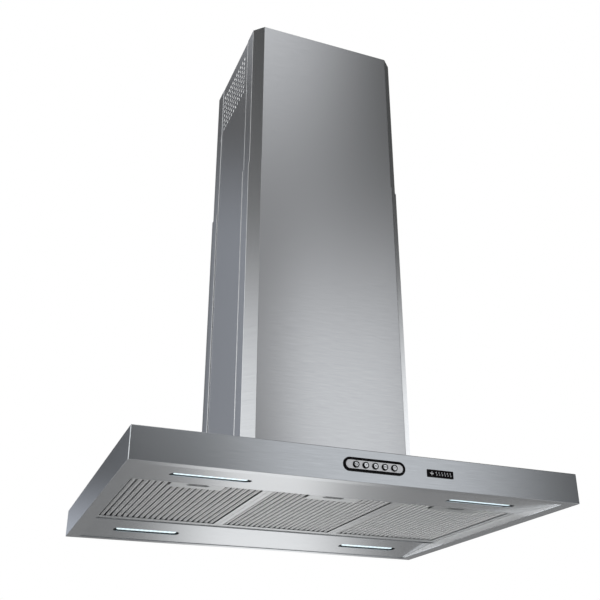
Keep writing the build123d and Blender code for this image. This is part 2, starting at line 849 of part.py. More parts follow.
def outlet_collar():
    with BuildPart() as collar:
        with BuildSketch(Plane.XY.offset(box_top)):
            Circle(collar_radius + collar_flange)
            Circle(collar_radius - collar_wall, mode=Mode.SUBTRACT)
        extrude(amount=collar_flange_sheet)
        with BuildSketch(Plane.XY.offset(box_top)):
            Circle(collar_radius)
            Circle(collar_radius - collar_wall, mode=Mode.SUBTRACT)
        extrude(amount=collar_height)
    collar.part.label = "outlet_collar"
    export_step(collar.part, "parts/outlet_collar.step")


def damper_pin():
    with BuildPart() as pin:
        with BuildSketch(Plane.YZ):
            with Locations((0, damper_z)):
                Circle(damper_pin_radius)
        extrude(amount=collar_radius - collar_wall - 0.1, both=True)
    pin.part.label = "damper_pin"
    export_step(pin.part, "parts/damper_pin.step")


def damper_flap(name, side, knuckles):
    """Half-disc flap that the air lifts, with rolled knuckles round the pin."""
    radius = collar_radius - collar_wall - flap_gap
    clear = damper_knuckle + 0.4
    with BuildPart() as flap:
        with BuildSketch(Plane.XY.offset(damper_z - flap_thickness / 2)):
            Circle(radius)
            with Locations((0, side * (clear + radius / 2))):
                Rectangle(2 * radius, radius, mode=Mode.INTERSECT)
            with Locations(*[(x, side * clear / 2) for x, length in knuckles]):
                Rectangle(knuckles[0][1], clear + 0.2)
        extrude(amount=flap_thickness)
        for x, length in knuckles:
            with BuildSketch(Plane.YZ.offset(x - length / 2)):
                with Locations((0, damper_z)):
                    Circle(damper_knuckle)
            extrude(amount=length)
        with BuildSketch(Plane.YZ):
            with Locations((0, damper_z)):
                Circle(damper_pin_radius + running_gap)
        extrude(amount=radius, both=True, mode=Mode.SUBTRACT)
    flap.part.label = name
    export_step(flap.part, f"parts/{name}.step")


def control_box():
    """Driver box screwed to the side of the blower box."""
    with BuildPart() as box:
        with BuildSketch(Plane.YZ.offset(box_half_x)):
            with Locations((0, canopy_top + control_box_rise)):
                RectangleRounded(control_box_length, control_box_height, 4)
        extrude(amount=control_box_depth)
        fillet(box.faces().sort_by(Axis.X)[-1].edges(), control_box_round)
    box.part.label = "control_box"
    export_step(box.part, "parts/control_box.step")


def cable_gland():
    """Screwed gland in the roof of the blower box for the supply cable."""
    with BuildPart() as gland:
        with BuildSketch(Plane.XY.offset(box_top)):
            with Locations((cable_x, cable_y)):
                RegularPolygon(gland_hex_radius, 6)
        extrude(amount=gland_hex_height)
        with BuildSketch(Plane.XY.offset(box_top - box_sheet)):
            with Locations((cable_x, cable_y)):
                Circle(gland_thread_radius)
        extrude(amount=box_sheet)
        with BuildSketch(Plane.XY.offset(box_top + gland_hex_height)):
            with Locations((cable_x, cable_y)):
                Circle(gland_cap_radius)
        extrude(amount=gland_cap_height)
        fillet(gland.faces().sort_by(Axis.Z)[-1].edges(), gland_round)
        with BuildSketch(Plane.XY.offset(box_top - box_sheet)):
            with Locations((cable_x, cable_y)):
                Circle(gland_bore_radius)
        extrude(amount=box_sheet + gland_hex_height + gland_cap_height, mode=Mode.SUBTRACT)
    gland.part.label = "cable_gland"
    export_step(gland.part, "parts/cable_gland.step")


def build_covers():
    for word, side in (("front", -1), ("rear", 1)):
        cover_shell(f"lower_cover_{word}", cover_width, cover_depth, cover_chamfer,
                    canopy_top, lower_cover_height, side)
        cover_shell(f"upper_cover_{word}", upper_cover_width, upper_cover_depth, upper_cover_chamfer,
                    upper_cover_bottom, upper_cover_height, side)
    for word, side in (("left", -1), ("right", 1)):
        side_panel(f"lower_side_panel_{word}", cover_width, canopy_top, lower_cover_height, side, False)
        side_panel(f"upper_side_panel_{word}", upper_cover_width, upper_cover_bottom,
                   upper_cover_height, side, True)


def build_frame():
    ceiling_plate()
    upper_slots = [upper_cover_bottom + rise for rise in upper_slot_rises]
    upright_set("upper_uprights", upright_corner_x, upright_corner_y, upright_leg,
                upper_cover_bottom, -plate_thickness, upper_slots)
    step_in = upright_steel + slide_gap
    corner_x = upright_corner_x - step_in
    corner_y = upright_corner_y - step_in
    lower_top = canopy_top + lower_upright_height
    lower_slots = [lower_top - drop for drop in lower_slot_drops]
    upright_set("lower_uprights", corner_x, corner_y, upright_leg - step_in,
                canopy_top + upright_steel, lower_top, lower_slots)
    frame_feet(corner_x, corner_y)
    tie_ring(corner_x - upright_steel, corner_y - upright_steel, lower_top)
    cover_clips("upper_cover_clips", upper_cover_depth / 2 - sheet, -plate_thickness, -1)
    cover_clips("lower_cover_clips", cover_depth / 2 - sheet, canopy_top, 1)
    cover_screws("upper_cover_screws", upper_cover_width)


def build_canopy():
    canopy_shell()
    for word, side in (("front", -1), ("rear", 1)):
        light_panel(f"light_panel_{word}", side)
        led_lens(f"led_lens_{word}_left", -light_x, side)
        led_lens(f"led_lens_{word}_right", light_x, side)
    side_rail("side_rail_left", -1)
    side_rail("side_rail_right", 1)
    led_housings()
    led_boards()


def build_controls():
    control_bezel()
    control_plate()
    switch_body()
    badge()
    for i, place in enumerate(button_places()):
        button(f"button_{i + 1}", place)


def build_filters():
    for word, centre in (("left", -filter_pitch), ("middle", 0), ("right", filter_pitch)):
        filter_frame(f"filter_frame_{word}", centre)
        baffle_set(f"baffles_{word}", centre)
        filter_latch(f"filter_latch_{word}", centre)


def build_blower():
    blower_box()
    blower_box_roof()
    scroll_housing()
    inlet_rings()
    impeller()
    motor_shaft()
    motor()
    motor_bracket()
    outlet_collar()
    damper_pin()
    damper_flap("damper_flap_front", -1, ((-45, 28), (45, 28)))
    damper_flap("damper_flap_rear", 1, ((0, 56),))
    control_box()
    cable_gland()


build_covers()
build_frame()
build_canopy()
build_controls()
build_filters()
build_blower()
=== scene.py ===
import json
import math

import bmesh
import bpy
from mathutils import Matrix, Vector


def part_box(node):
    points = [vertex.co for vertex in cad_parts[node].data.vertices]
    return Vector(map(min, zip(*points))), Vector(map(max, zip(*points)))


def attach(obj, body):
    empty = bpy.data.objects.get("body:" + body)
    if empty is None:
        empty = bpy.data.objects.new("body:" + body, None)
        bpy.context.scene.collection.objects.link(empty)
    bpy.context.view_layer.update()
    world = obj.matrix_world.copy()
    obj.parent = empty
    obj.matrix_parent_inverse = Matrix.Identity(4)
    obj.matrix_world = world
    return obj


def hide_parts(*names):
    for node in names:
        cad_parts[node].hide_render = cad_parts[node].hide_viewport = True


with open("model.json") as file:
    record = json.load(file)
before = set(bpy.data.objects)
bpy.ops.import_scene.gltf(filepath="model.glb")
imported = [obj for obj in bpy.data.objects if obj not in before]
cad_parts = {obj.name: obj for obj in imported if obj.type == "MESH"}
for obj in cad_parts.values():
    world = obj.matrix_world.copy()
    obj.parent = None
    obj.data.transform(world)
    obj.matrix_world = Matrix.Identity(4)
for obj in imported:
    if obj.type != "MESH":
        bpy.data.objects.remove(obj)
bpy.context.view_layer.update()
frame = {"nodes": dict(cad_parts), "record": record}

# Island range hood: brushed steel canopy and telescoping chimney, hung from the ceiling at Z = 0.
# Metres, +Z up, -Y towards the user.

millimetre = 0.001
print("stage: frame loaded,", len(frame["nodes"]), "nodes")


def addNode(tree, kind, inputs=None, **settings):
    # adds one node; an input is a value, a socket that feeds it, or a node whose first output in use does
    node = tree.nodes.new(kind)
    for name, value in settings.items():
        setattr(node, name, value)
    for key, value in (inputs or {}).items():
        if isinstance(value, bpy.types.Node):
            value = next(output for output in value.outputs if output.enabled)
        if isinstance(value, bpy.types.NodeSocket):
            tree.links.new(value, node.inputs[key])
        else:
            node.inputs[key].default_value = value
    return node


def hexColour(code):
    # sRGB hex to linear RGBA
    parts = [int(code[i:i + 2], 16) / 255 for i in (1, 3, 5)]
    return [c / 12.92 if c <= 0.04045 else ((c + 0.055) / 1.055) ** 2.4 for c in parts] + [1.0]


def newMaterial(name):
    material = bpy.data.materials.new(name)
    material.use_nodes = True
    material.node_tree.nodes.clear()
    return material, material.node_tree


# brushed stainless steel: polished with a belt, so light spreads across the fine level lines

def grainDirection(tree):
    # level lines on upright faces; along X on level ones. Gives that direction and the place across it
    place = addNode(tree, "ShaderNodeTexCoord")
    facing = addNode(tree, "ShaderNodeSeparateXYZ", {0: place.outputs["Normal"]})
    lift = addNode(tree, "ShaderNodeMath", {0: facing.outputs["Z"]}, operation="ABSOLUTE")
    isLevel = addNode(tree, "ShaderNodeMath", {0: lift, 1: 0.7}, operation="GREATER_THAN")
    around = addNode(tree, "ShaderNodeVectorMath", {0: (0, 0, 1), 1: place.outputs["Normal"]},
                     operation="CROSS_PRODUCT")
    # a Mix node's plain numbers are its inputs 2 and 3, its vectors 4 and 5
    way = addNode(tree, "ShaderNodeMix", {"Factor": isLevel, 4: around, 5: (1, 0, 0)}, data_type="VECTOR")
    where = addNode(tree, "ShaderNodeSeparateXYZ", {0: place.outputs["Object"]})
    across = addNode(tree, "ShaderNodeMix", {"Factor": isLevel, 2: where.outputs["Z"], 3: where.outputs["Y"]},
                     data_type="FLOAT")
    along = addNode(tree, "ShaderNodeVectorMath", {0: place.outputs["Object"], 1: way},
                    operation="DOT_PRODUCT")
    return way, along.outputs["Value"], across


def grainNoise(tree, along, across, lengthMm, widthMm, detail):
    stretched = []
    for where, size in ((along, lengthMm), (across, widthMm)):
        stretched.append(addNode(tree, "ShaderNodeMath", {0: where, 1: 1 / (size * millimetre)},
                                 operation="MULTIPLY"))
    spot = addNode(tree, "ShaderNodeCombineXYZ", {0: stretched[0], 1: stretched[1]})
    return addNode(tree, "ShaderNodeTexNoise", {"Vector": spot, "Scale": 1.0, "Detail": detail,
                                                "Roughness": 0.6}, noise_dimensions="2D").outputs["Fac"]


def brushedSteel(name, settings):
    material, tree = newMaterial(name)
    way, along, across = grainDirection(tree)
    line = grainNoise(tree, along, across, settings["lineLengthMm"], settings["lineMm"], 2.0)
    streak = grainNoise(tree, along, across, settings["streakLengthMm"], settings["streakMm"], 1.0)
    tone = addNode(tree, "ShaderNodeMix", {"Factor": settings["streakShare"], 2: line, 3: streak},
                   data_type="FLOAT")
    colour = addNode(tree, "ShaderNodeValToRGB", {"Fac": tone})
    for element, position, code in zip(colour.color_ramp.elements, (0.3, 0.7),
                                       (settings["darkColour"], settings["lightColour"])):
        element.position = position
        element.color = hexColour(code)
    roughness = addNode(tree, "ShaderNodeMapRange", {
        "Value": tone, "From Min": 0.3, "From Max": 0.7,
        "To Min": settings["roughness"] + settings["roughnessVary"],
        "To Max": settings["roughness"] - settings["roughnessVary"]})
    bump = addNode(tree, "ShaderNodeBump", {"Strength": settings["bump"], "Distance": 0.02 * millimetre,
                                            "Height": line})
    # scratches tilt the surface across the lines, so that is the way the highlight spreads
    lineWay = addNode(tree, "ShaderNodeVectorTransform", {0: way}, vector_type="VECTOR",
                      convert_from="OBJECT", convert_to="WORLD")
    normal = addNode(tree, "ShaderNodeNewGeometry").outputs["Normal"]
    spread = addNode(tree, "ShaderNodeVectorMath", {0: normal, 1: lineWay}, operation="CROSS_PRODUCT")
    surface = addNode(tree, "ShaderNodeBsdfPrincipled", {
        "Base Color": colour, "Metallic": 1.0, "Roughness": roughness,
        "Anisotropic": settings["anisotropy"], "Tangent": spread, "Normal": bump})
    addNode(tree, "ShaderNodeOutputMaterial", {"Surface": surface})
    return material


# real belt lines are about 0.1 mm apart; these are drawn coarser so that they show
steelSettings = {
    # chimney covers, cleaned up to an even satin
    "coverSteel": {"lightColour": "#d4d5d6", "darkColour": "#cdced0", "roughness": 0.22,
        "roughnessVary": 0.012, "anisotropy": 0.45, "lineMm": 0.6, "lineLengthMm": 30, "streakMm": 3.0,
        "streakLengthMm": 180, "streakShare": 0.15, "bump": 0.06},
    # canopy, the same sheet with a slightly longer grain, drawn a little darker than the covers
    "canopySteel": {"lightColour": "#c1c4c7", "darkColour": "#b8bbbe", "roughness": 0.2,
        "roughnessVary": 0.012, "anisotropy": 0.45, "lineMm": 0.6, "lineLengthMm": 40, "streakMm": 3.0,
        "streakLengthMm": 220, "streakShare": 0.15, "bump": 0.06},
    # side rails beside the filters, painted lighter than the cover steel as painted light on the wall beside
    # the filters; matt where the belt didn't reach
    "railSteelPaintedLight": {"lightColour": "#dcddde", "darkColour": "#d0d1d2", "roughness": 0.5,
        "roughnessVary": 0.03, "anisotropy": 0.2, "lineMm": 0.6, "lineLengthMm": 40, "streakMm": 3.0,
        "streakLengthMm": 220, "streakShare": 0.2, "bump": 0.06},
    # filter frames and latches, softer from washing
    "filterSteel": {"lightColour": "#cdcfd0", "darkColour": "#bfc1c2", "roughness": 0.34,
        "roughnessVary": 0.03, "anisotropy": 0.2, "lineMm": 0.5, "lineLengthMm": 30, "streakMm": 3.0,
        "streakLengthMm": 90, "streakShare": 0.4, "bump": 0.1},
    # baffles, bright aluminium-coated strip whose grain runs along each channel
    "baffleSteel": {"lightColour": "#cbcccc", "darkColour": "#bdbebf", "roughness": 0.4,
        "roughnessVary": 0.03, "anisotropy": 0.1, "lineMm": 0.5, "lineLengthMm": 30, "streakMm": 3.0,
        "streakLengthMm": 90, "streakShare": 0.4, "bump": 0.1},
}


# hot-dip galvanised sheet: zinc crystals a few millimetres across, each a slightly different grey

galvanisedSettings = {"spangleMm": 7.0, "lightColour": "#b9bec2", "darkColour": "#8f959a", "roughness": 0.42,
                      "roughnessVary": 0.08}


def galvanisedSteel(name, settings):
    material, tree = newMaterial(name)
    place = addNode(tree, "ShaderNodeTexCoord").outputs["Object"]
    crystal = addNode(tree, "ShaderNodeTexVoronoi", {"Vector": place,
                                                     "Scale": 1 / (settings["spangleMm"] * millimetre)})
    colour = addNode(tree, "ShaderNodeValToRGB", {"Fac": crystal.outputs["Color"]})
    colour.color_ramp.elements[0].color = hexColour(settings["darkColour"])
    colour.color_ramp.elements[1].color = hexColour(settings["lightColour"])
    roughness = addNode(tree, "ShaderNodeMapRange", {
        "Value": crystal.outputs["Color"], "To Min": settings["roughness"] - settings["roughnessVary"],
        "To Max": settings["roughness"] + settings["roughnessVary"]})
    bump = addNode(tree, "ShaderNodeBump", {"Strength": 0.1, "Distance": 0.05 * millimetre,
                                            "Height": crystal.outputs["Distance"]})
    surface = addNode(tree, "ShaderNodeBsdfPrincipled", {
        "Base Color": colour, "Metallic": 1.0, "Roughness": roughness,
        "Normal": bump})
    addNode(tree, "ShaderNodeOutputMaterial", {"Surface": surface})
    return material


# moulded plastics, enamel and turned metal share one grainy surface

def grainySurface(name, settings):
    # a fine all-over grain varies the colour, the gloss and the height a little
    material, tree = newMaterial(name)
    place = addNode(tree, "ShaderNodeTexCoord").outputs["Object"]
    noise = addNode(tree, "ShaderNodeTexNoise", {
        "Vector": place, "Scale": 1 / (settings["grainMm"] * millimetre), "Detail": 3.0, "Roughness": 0.55})
    colour = addNode(tree, "ShaderNodeValToRGB", {"Fac": noise.outputs["Fac"]})
    colour.color_ramp.elements[0].position = 0.3
    colour.color_ramp.elements[0].color = hexColour(settings["darkColour"])
    colour.color_ramp.elements[1].position = 0.7
    colour.color_ramp.elements[1].color = hexColour(settings["lightColour"])
    roughness = addNode(tree, "ShaderNodeMapRange", {
        "Value": noise.outputs["Fac"], "From Min": 0.3, "From Max": 0.7,
        "To Min": settings["roughness"] * 0.88, "To Max": settings["roughness"] * 1.12})
    bump = addNode(tree, "ShaderNodeBump", {"Strength": settings["bump"], "Distance": 0.05 * millimetre,
                                            "Height": noise.outputs["Fac"]})
    surface = addNode(tree, "ShaderNodeBsdfPrincipled", {
        "Base Color": colour, "Roughness": roughness, "Normal": bump,
        "Metallic": settings["metallic"]})
    if "ior" in settings:
        surface.inputs["IOR"].default_value = settings["ior"]
    if "specular" in settings:
        surface.inputs["Specular IOR Level"].default_value = settings["specular"]
    addNode(tree, "ShaderNodeOutputMaterial", {"Surface": surface})
    return material


grainySettings = {
    # high-gloss black ABS: deep black with a clear mirror edge
    "glossBlackAbs": {"darkColour": "#030303", "lightColour": "#060607", "roughness": 0.1, "metallic": 0.0,
                      "ior": 1.53, "grainMm": 2.0, "bump": 0.02, "specular": 0.06},
    # moulded black nylon: dull, fine spark-eroded grain
    "blackNylon": {"darkColour": "#141415", "lightColour": "#232325", "roughness": 0.55, "metallic": 0.0,
                   "ior": 1.53, "grainMm": 0.5, "bump": 0.3},
    # bead-blasted anodised aluminium: silver with a speckled sparkle, drawn coarse enough to show
    "blastedAluminium": {"darkColour": "#cacace", "lightColour": "#ffffff", "roughness": 0.36,
        "metallic": 1.0, "grainMm": 1.2, "bump": 0.35},
    # satin chrome on the button caps
    "satinChrome": {"darkColour": "#d3d4d6", "lightColour": "#e4e5e7", "roughness": 0.2, "metallic": 1.0,
                    "grainMm": 0.8, "bump": 0.05},
    # zinc-plated turned steel: pins, shafts and screws
    "zincPlate": {"darkColour": "#b4b6b8", "lightColour": "#cfd1d3", "roughness": 0.25, "metallic": 1.0,
                  "grainMm": 0.6, "bump": 0.08},
    # mill-finish aluminium flaps
    "millAluminium": {"darkColour": "#bfc1c3", "lightColour": "#d9dadc", "roughness": 0.35, "metallic": 1.0,
                      "grainMm": 3.0, "bump": 0.05},
    # dipped black motor enamel
    "motorEnamel": {"darkColour": "#17181a", "lightColour": "#202124", "roughness": 0.38, "metallic": 0.0,
                    "ior": 1.5, "grainMm": 1.5, "bump": 0.2},
    # white polycarbonate driver box
    "whitePolycarbonate": {"darkColour": "#d6d6d2", "lightColour": "#e4e4e0", "roughness": 0.45,
        "metallic": 0.0, "ior": 1.58, "grainMm": 0.7, "bump": 0.15},
    # lamp tray moulded in dark grey nylon, so that only the lens shines
    "lampTrayNylon": {"darkColour": "#26282a", "lightColour": "#35383b", "roughness": 0.3, "metallic": 0.0,
                      "ior": 1.53, "grainMm": 2.0, "bump": 0.05},
    # white solder mask on the light boards
    "solderMask": {"darkColour": "#dfe2e0", "lightColour": "#eceeec", "roughness": 0.4, "metallic": 0.0,
                   "ior": 1.5, "grainMm": 1.0, "bump": 0.05},
    # dark grey pad print
    "darkPrint": {"darkColour": "#2a2b2d", "lightColour": "#343537", "roughness": 0.5, "metallic": 0.0,
                  "ior": 1.5, "grainMm": 0.3, "bump": 0.05},
}

# frosted polycarbonate bar lit from behind: cool white, a little brighter under each light chip, with painted
# shade dimming the glow on its rolled sides

lensSettings = {"darkColour": "#cfe3ea", "lightColour": "#e6f2f5", "roughness": 0.25, "grainMm": 4.0,
                "glowColour": "#dcf2fb", "glow": 0.9, "chipPitchMm": 9.0, "chipShare": 0.2, "paintedSideShadeShare": 0.3,
                "coreMm": 3.2, "coreFadeMm": 3.5, "edgeShare": 0.38, "rowYMm": 220.2}


def litLens(name, settings):
    material, tree = newMaterial(name)
    place = addNode(tree, "ShaderNodeTexCoord")
    frost = addNode(tree, "ShaderNodeTexNoise", {"Vector": place.outputs["Object"], "Detail": 3.0,
                                                 "Scale": 1 / (settings["grainMm"] * millimetre)})
    colour = addNode(tree, "ShaderNodeValToRGB", {"Fac": frost.outputs["Fac"]})
    colour.color_ramp.elements[0].color = hexColour(settings["darkColour"])
    colour.color_ramp.elements[1].color = hexColour(settings["lightColour"])
    where = addNode(tree, "ShaderNodeSeparateXYZ", {0: place.outputs["Object"]})
    turn = addNode(tree, "ShaderNodeMath", {0: where.outputs["X"],
                                            1: 2 * math.pi / (settings["chipPitchMm"] * millimetre)},
                   operation="MULTIPLY")
    wave = addNode(tree, "ShaderNodeMath", {0: turn}, operation="COSINE")
    chips = addNode(tree, "ShaderNodeMath", {0: wave, 1: settings["chipShare"], 2: 1.0},
                    operation="MULTIPLY_ADD")
    # painted shade: the glow is full on the face that looks down and dimmed on the rolled sides
    facing = addNode(tree, "ShaderNodeSeparateXYZ", {0: place.outputs["Normal"]})
    level = addNode(tree, "ShaderNodeMath", {0: facing.outputs["Z"]}, operation="ABSOLUTE")
    levelness = addNode(tree, "ShaderNodeMath", {0: level, 1: 3.0}, operation="POWER")
    paintedFacingShade = addNode(tree, "ShaderNodeMath", {0: levelness, 1: 1.0 - settings["paintedSideShadeShare"],
                                                 2: settings["paintedSideShadeShare"]}, operation="MULTIPLY_ADD")
    # the bar is brightest along its middle, where the chips are
    fromMiddle = addNode(tree, "ShaderNodeMath", {0: where.outputs["Y"]}, operation="ABSOLUTE")
    pastRow = addNode(tree, "ShaderNodeMath", {0: fromMiddle, 1: settings["rowYMm"] * millimetre},
                      operation="SUBTRACT")
    fromRow = addNode(tree, "ShaderNodeMath", {0: pastRow}, operation="ABSOLUTE")
    core = addNode(tree, "ShaderNodeMapRange", {
        "Value": fromRow, "From Min": settings["coreMm"] * millimetre / 2,
        "From Max": (settings["coreMm"] / 2 + settings["coreFadeMm"]) * millimetre, "To Min": 1.0,
        "To Max": settings["edgeShare"]}, interpolation_type="SMOOTHSTEP")
    lit = addNode(tree, "ShaderNodeMath", {0: paintedFacingShade, 1: core}, operation="MULTIPLY")
    dotted = addNode(tree, "ShaderNodeMath", {0: chips, 1: lit}, operation="MULTIPLY")
    glow = addNode(tree, "ShaderNodeMath", {0: dotted, 1: settings["glow"]}, operation="MULTIPLY")
    bump = addNode(tree, "ShaderNodeBump", {"Strength": 0.05, "Distance": 0.05 * millimetre,
                                            "Height": frost.outputs["Fac"]})
    surface = addNode(tree, "ShaderNodeBsdfPrincipled", {
        "Base Color": colour, "Roughness": settings["roughness"], "IOR": 1.58,
        "Emission Color": hexColour(settings["glowColour"]), "Emission Strength": glow, "Normal": bump})
    addNode(tree, "ShaderNodeOutputMaterial", {"Surface": surface})
    return material


finish = {name: grainySurface(name, settings) for name, settings in grainySettings.items()}
finish.update({name: brushedSteel(name, settings) for name, settings in steelSettings.items()})
finish["galvanised"] = galvanisedSteel("galvanisedSteel", galvanisedSettings)
finish["frostedLens"] = litLens("frostedLens", lensSettings)
print("stage: materials made,", len(finish))

slotFinish = {
    "brushed_cover": "coverSteel", "brushed_canopy": "canopySteel", "filter_steel": "filterSteel",
    "galvanised_steel": "galvanised", "screw_steel": "zincPlate", "lamp_tray": "lampTrayNylon",
    "circuit_board": "solderMask", "lamp_lens": "frostedLens", "gloss_black": "glossBlackAbs",
    "silver_plate": "blastedAluminium", "button_metal": "satinChrome", "black_moulding": "blackNylon",
    "motor_enamel": "motorEnamel", "flap_aluminium": "millAluminium", "box_white": "whitePolycarbonate",
}


# a few nodes look different from the rest of their slot; the side rails' lighter steel is painted light
nodeFinish = {"side_rail_left": "railSteelPaintedLight", "side_rail_right": "railSteelPaintedLight"}


def paintFrameNodes():
    for subpart in frame["record"]["subparts"]:
        name = subpart["node"]
        chosen = nodeFinish.get(name, slotFinish[subpart["material_slot"]])
        frame["nodes"][name].data.materials.clear()
        frame["nodes"][name].data.materials.append(finish[chosen])


paintFrameNodes()

# helpers for the pieces that replace or finish CAD nodes

def sizedTree(name, sizes):
    # an empty Geometry Nodes tree with one named input for each size
    tree = bpy.data.node_groups.new(name, "GeometryNodeTree")
    tree.interface.new_socket("Geometry", in_out="INPUT", socket_type="NodeSocketGeometry")
    for label, value in sizes.items():
        kind = "NodeSocketInt" if isinstance(value, int) else "NodeSocketFloat"
        tree.interface.new_socket(label, in_out="INPUT", socket_type=kind)
    tree.interface.new_socket("Geometry", in_out="OUTPUT", socket_type="NodeSocketGeometry")
    return tree, addNode(tree, "NodeGroupInput").outputs


def finishTree(tree, geometry, material):
    loose = addNode(tree, "GeometryNodeRealizeInstances", {"Geometry": geometry})
    painted = addNode(tree, "GeometryNodeSetMaterial", {"Geometry": loose.outputs[0], "Material": material})
    addNode(tree, "NodeGroupOutput", {0: painted.outputs[0]})


def linkedObject(name, mesh):
    piece = bpy.data.objects.new(name, mesh)
    bpy.context.collection.objects.link(piece)
    return piece


def growMesh(name, points, edges, tree, sizes, sheet=0.0, faces=()):
    # runs a tree on a starting outline or mesh, gives it a wall inwards and returns the plain mesh
    start = bpy.data.meshes.new(name + "Start")
    start.from_pydata(points, edges, list(faces))
    piece = linkedObject(name + "Start", start)
    modifier = piece.modifiers.new("grow", "NODES")
    modifier.node_group = tree
    for item in tree.interface.items_tree:
        if item.in_out == "INPUT" and item.name in sizes:
            modifier[item.identifier] = sizes[item.name]
    if sheet:
        wall = piece.modifiers.new("wall", "SOLIDIFY")
        wall.thickness = sheet
        wall.offset = -1.0
        wall.use_even_offset = True
    mesh = bpy.data.meshes.new_from_object(piece.evaluated_get(bpy.context.evaluated_depsgraph_get()))
    bpy.data.objects.remove(piece)
    return mesh


def walledMesh(name, bare, sheetMm, material):
    # gives an open sheet a wall on its inner side
    if "plainSheet" not in bpy.data.node_groups:
        tree, given = sizedTree("plainSheet", {})
        finishTree(tree, given["Geometry"], material)
    return growMesh(name, [v.co[:] for v in bare.vertices], [], bpy.data.node_groups["plainSheet"], {},
                    sheetMm * millimetre, [f.vertices[:] for f in bare.polygons])


def joinedMesh(name, meshes, material):
    whole = bmesh.new()
    for mesh in meshes:
        whole.from_mesh(mesh)
    mesh = bpy.data.meshes.new(name)
    whole.to_mesh(mesh)
    whole.free()
    mesh.materials.append(material)
    for face in mesh.polygons:
        face.material_index = 0
    return mesh


def smoothFaces(mesh, degrees=35):
    for face in mesh.polygons:
        face.use_smooth = True
    mesh.set_sharp_from_angle(angle=math.radians(degrees))


def placePiece(name, mesh, body, slotName, *replaced):
    smoothFaces(mesh)
    piece = linkedObject(name, mesh)
    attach(piece, body)
    if replaced:
        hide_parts(*replaced)
    return piece


# chimney covers: each half is one folded sheet with round bends and a rolled hem on its flange ends

coverSettings = {"lowerChamferMm": 20.0, "upperChamferMm": 19.0, "sheetMm": 0.8,
                 "sizes": {"Bend Radius": 0.0012, "Bend Steps": 6, "Height": 0.5, "Hem Radius": 0.0011},
                 "hemProudMm": {"lower": 0.6, "upper": 0.2}}


def foldedSheetTree(sizes, material):
    tree, given = sizedTree("foldedSheet", sizes)
    outline = addNode(tree, "GeometryNodeMeshToCurve", {0: given["Geometry"]})
    bent = addNode(tree, "GeometryNodeFilletCurve", {
        "Curve": outline, "Count": given["Bend Steps"], "Radius": given["Bend Radius"],
        "Limit Radius": True}, mode="POLY")
    line = addNode(tree, "GeometryNodeCurveToMesh", {"Curve": bent.outputs[0]})
    upward = addNode(tree, "ShaderNodeCombineXYZ", {"Z": given["Height"]})
    wall = addNode(tree, "GeometryNodeExtrudeMesh", {"Mesh": line.outputs[0], "Offset": upward.outputs[0]},
                   mode="EDGES")
    finishTree(tree, wall.outputs["Mesh"], material)
    return tree


def hemTree(sizes, material):
    # one rolled hem stands at each end of the outline
    tree, given = sizedTree("rolledHem", sizes)
    ends = addNode(tree, "GeometryNodeMeshToPoints", {"Mesh": given["Geometry"]})
    roll = addNode(tree, "GeometryNodeMeshCylinder", {"Vertices": 16, "Radius": given["Hem Radius"],
                                                      "Depth": given["Height"]})
    half = addNode(tree, "ShaderNodeMath", {0: given["Height"], 1: 0.5}, operation="MULTIPLY")
    lift = addNode(tree, "ShaderNodeCombineXYZ", {"Z": half.outputs[0]})
    raised = addNode(tree, "GeometryNodeTransform", {"Geometry": roll.outputs["Mesh"],
                                                     "Translation": lift.outputs[0]})
    stood = addNode(tree, "GeometryNodeInstanceOnPoints", {"Points": ends.outputs[0],
                                                           "Instance": raised.outputs[0]})
    finishTree(tree, stood.outputs[0], material)
    return tree


def facingOut(mesh):
    # an open sheet's faces are turned to point away from the chimney's middle
    middle = mesh.polygons[0].center
    if middle.x * mesh.polygons[0].normal.x + middle.y * mesh.polygons[0].normal.y < 0:
        mesh.flip_normals()
    return mesh


def makeCovers(settings):
    material = finish["coverSteel"]
    sheetTree = foldedSheetTree(settings["sizes"], material)
    rollTree = hemTree(settings["sizes"], material)
    for level, body in (("lower", "hood_unit"), ("upper", "ceiling_unit")):
        cut = settings[level + "ChamferMm"] * millimetre
        for word, side in (("front", -1), ("rear", 1)):
            node = f"{level}_cover_{word}"
            low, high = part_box(node)
            half, end = high[0], min(abs(low[1]), abs(high[1]))
            face = max(abs(low[1]), abs(high[1]))
            outline = [(-half, end), (-half, face - cut), (cut - half, face),
                       (half - cut, face), (half, face - cut), (half, end)]
            points = [(x, side * y, low[2]) for x, y in outline]
            sizes = dict(settings["sizes"], Height=high[2] - low[2])
            edges = [(i, i + 1) for i in range(len(points) - 1)]
            # a wall goes inwards only from faces that point out, so the sheet is grown, turned and grown on
            bare = facingOut(growMesh(node, points, edges, sheetTree, sizes))
            sheet = walledMesh(node, bare, settings["sheetMm"], material)
            radius = settings["sizes"]["Hem Radius"]
            hemX = half - radius + settings["hemProudMm"][level] * millimetre
            ends = [(sideX * hemX, side * (end + radius), low[2]) for sideX in (-1, 1)]
            hems = growMesh(node + "Hem", ends, [], rollTree, sizes)
            mesh = joinedMesh(node, [sheet, hems], material)
            placePiece(f"{level}Cover{word.title()}", mesh, body, "brushed_cover", node)


makeCovers(coverSettings)
print("stage: covers folded")


# upper side panels: a field of punched air holes, each with a soft drawn rim

panelSettings = {"sheetMm": 0.8, "centreYMm": 2.0, "centreZMm": -74.0,
                 "sizes": {"Pitch Y": 0.014, "Pitch Z": 0.0124, "Hole Radius": 0.0035, "Rim Depth": 0.0009,
                           "Rim Share": 0.45, "Window Share": 0.334, "Columns": 11, "Rows": 8,
                           "Cell Steps": 13}}


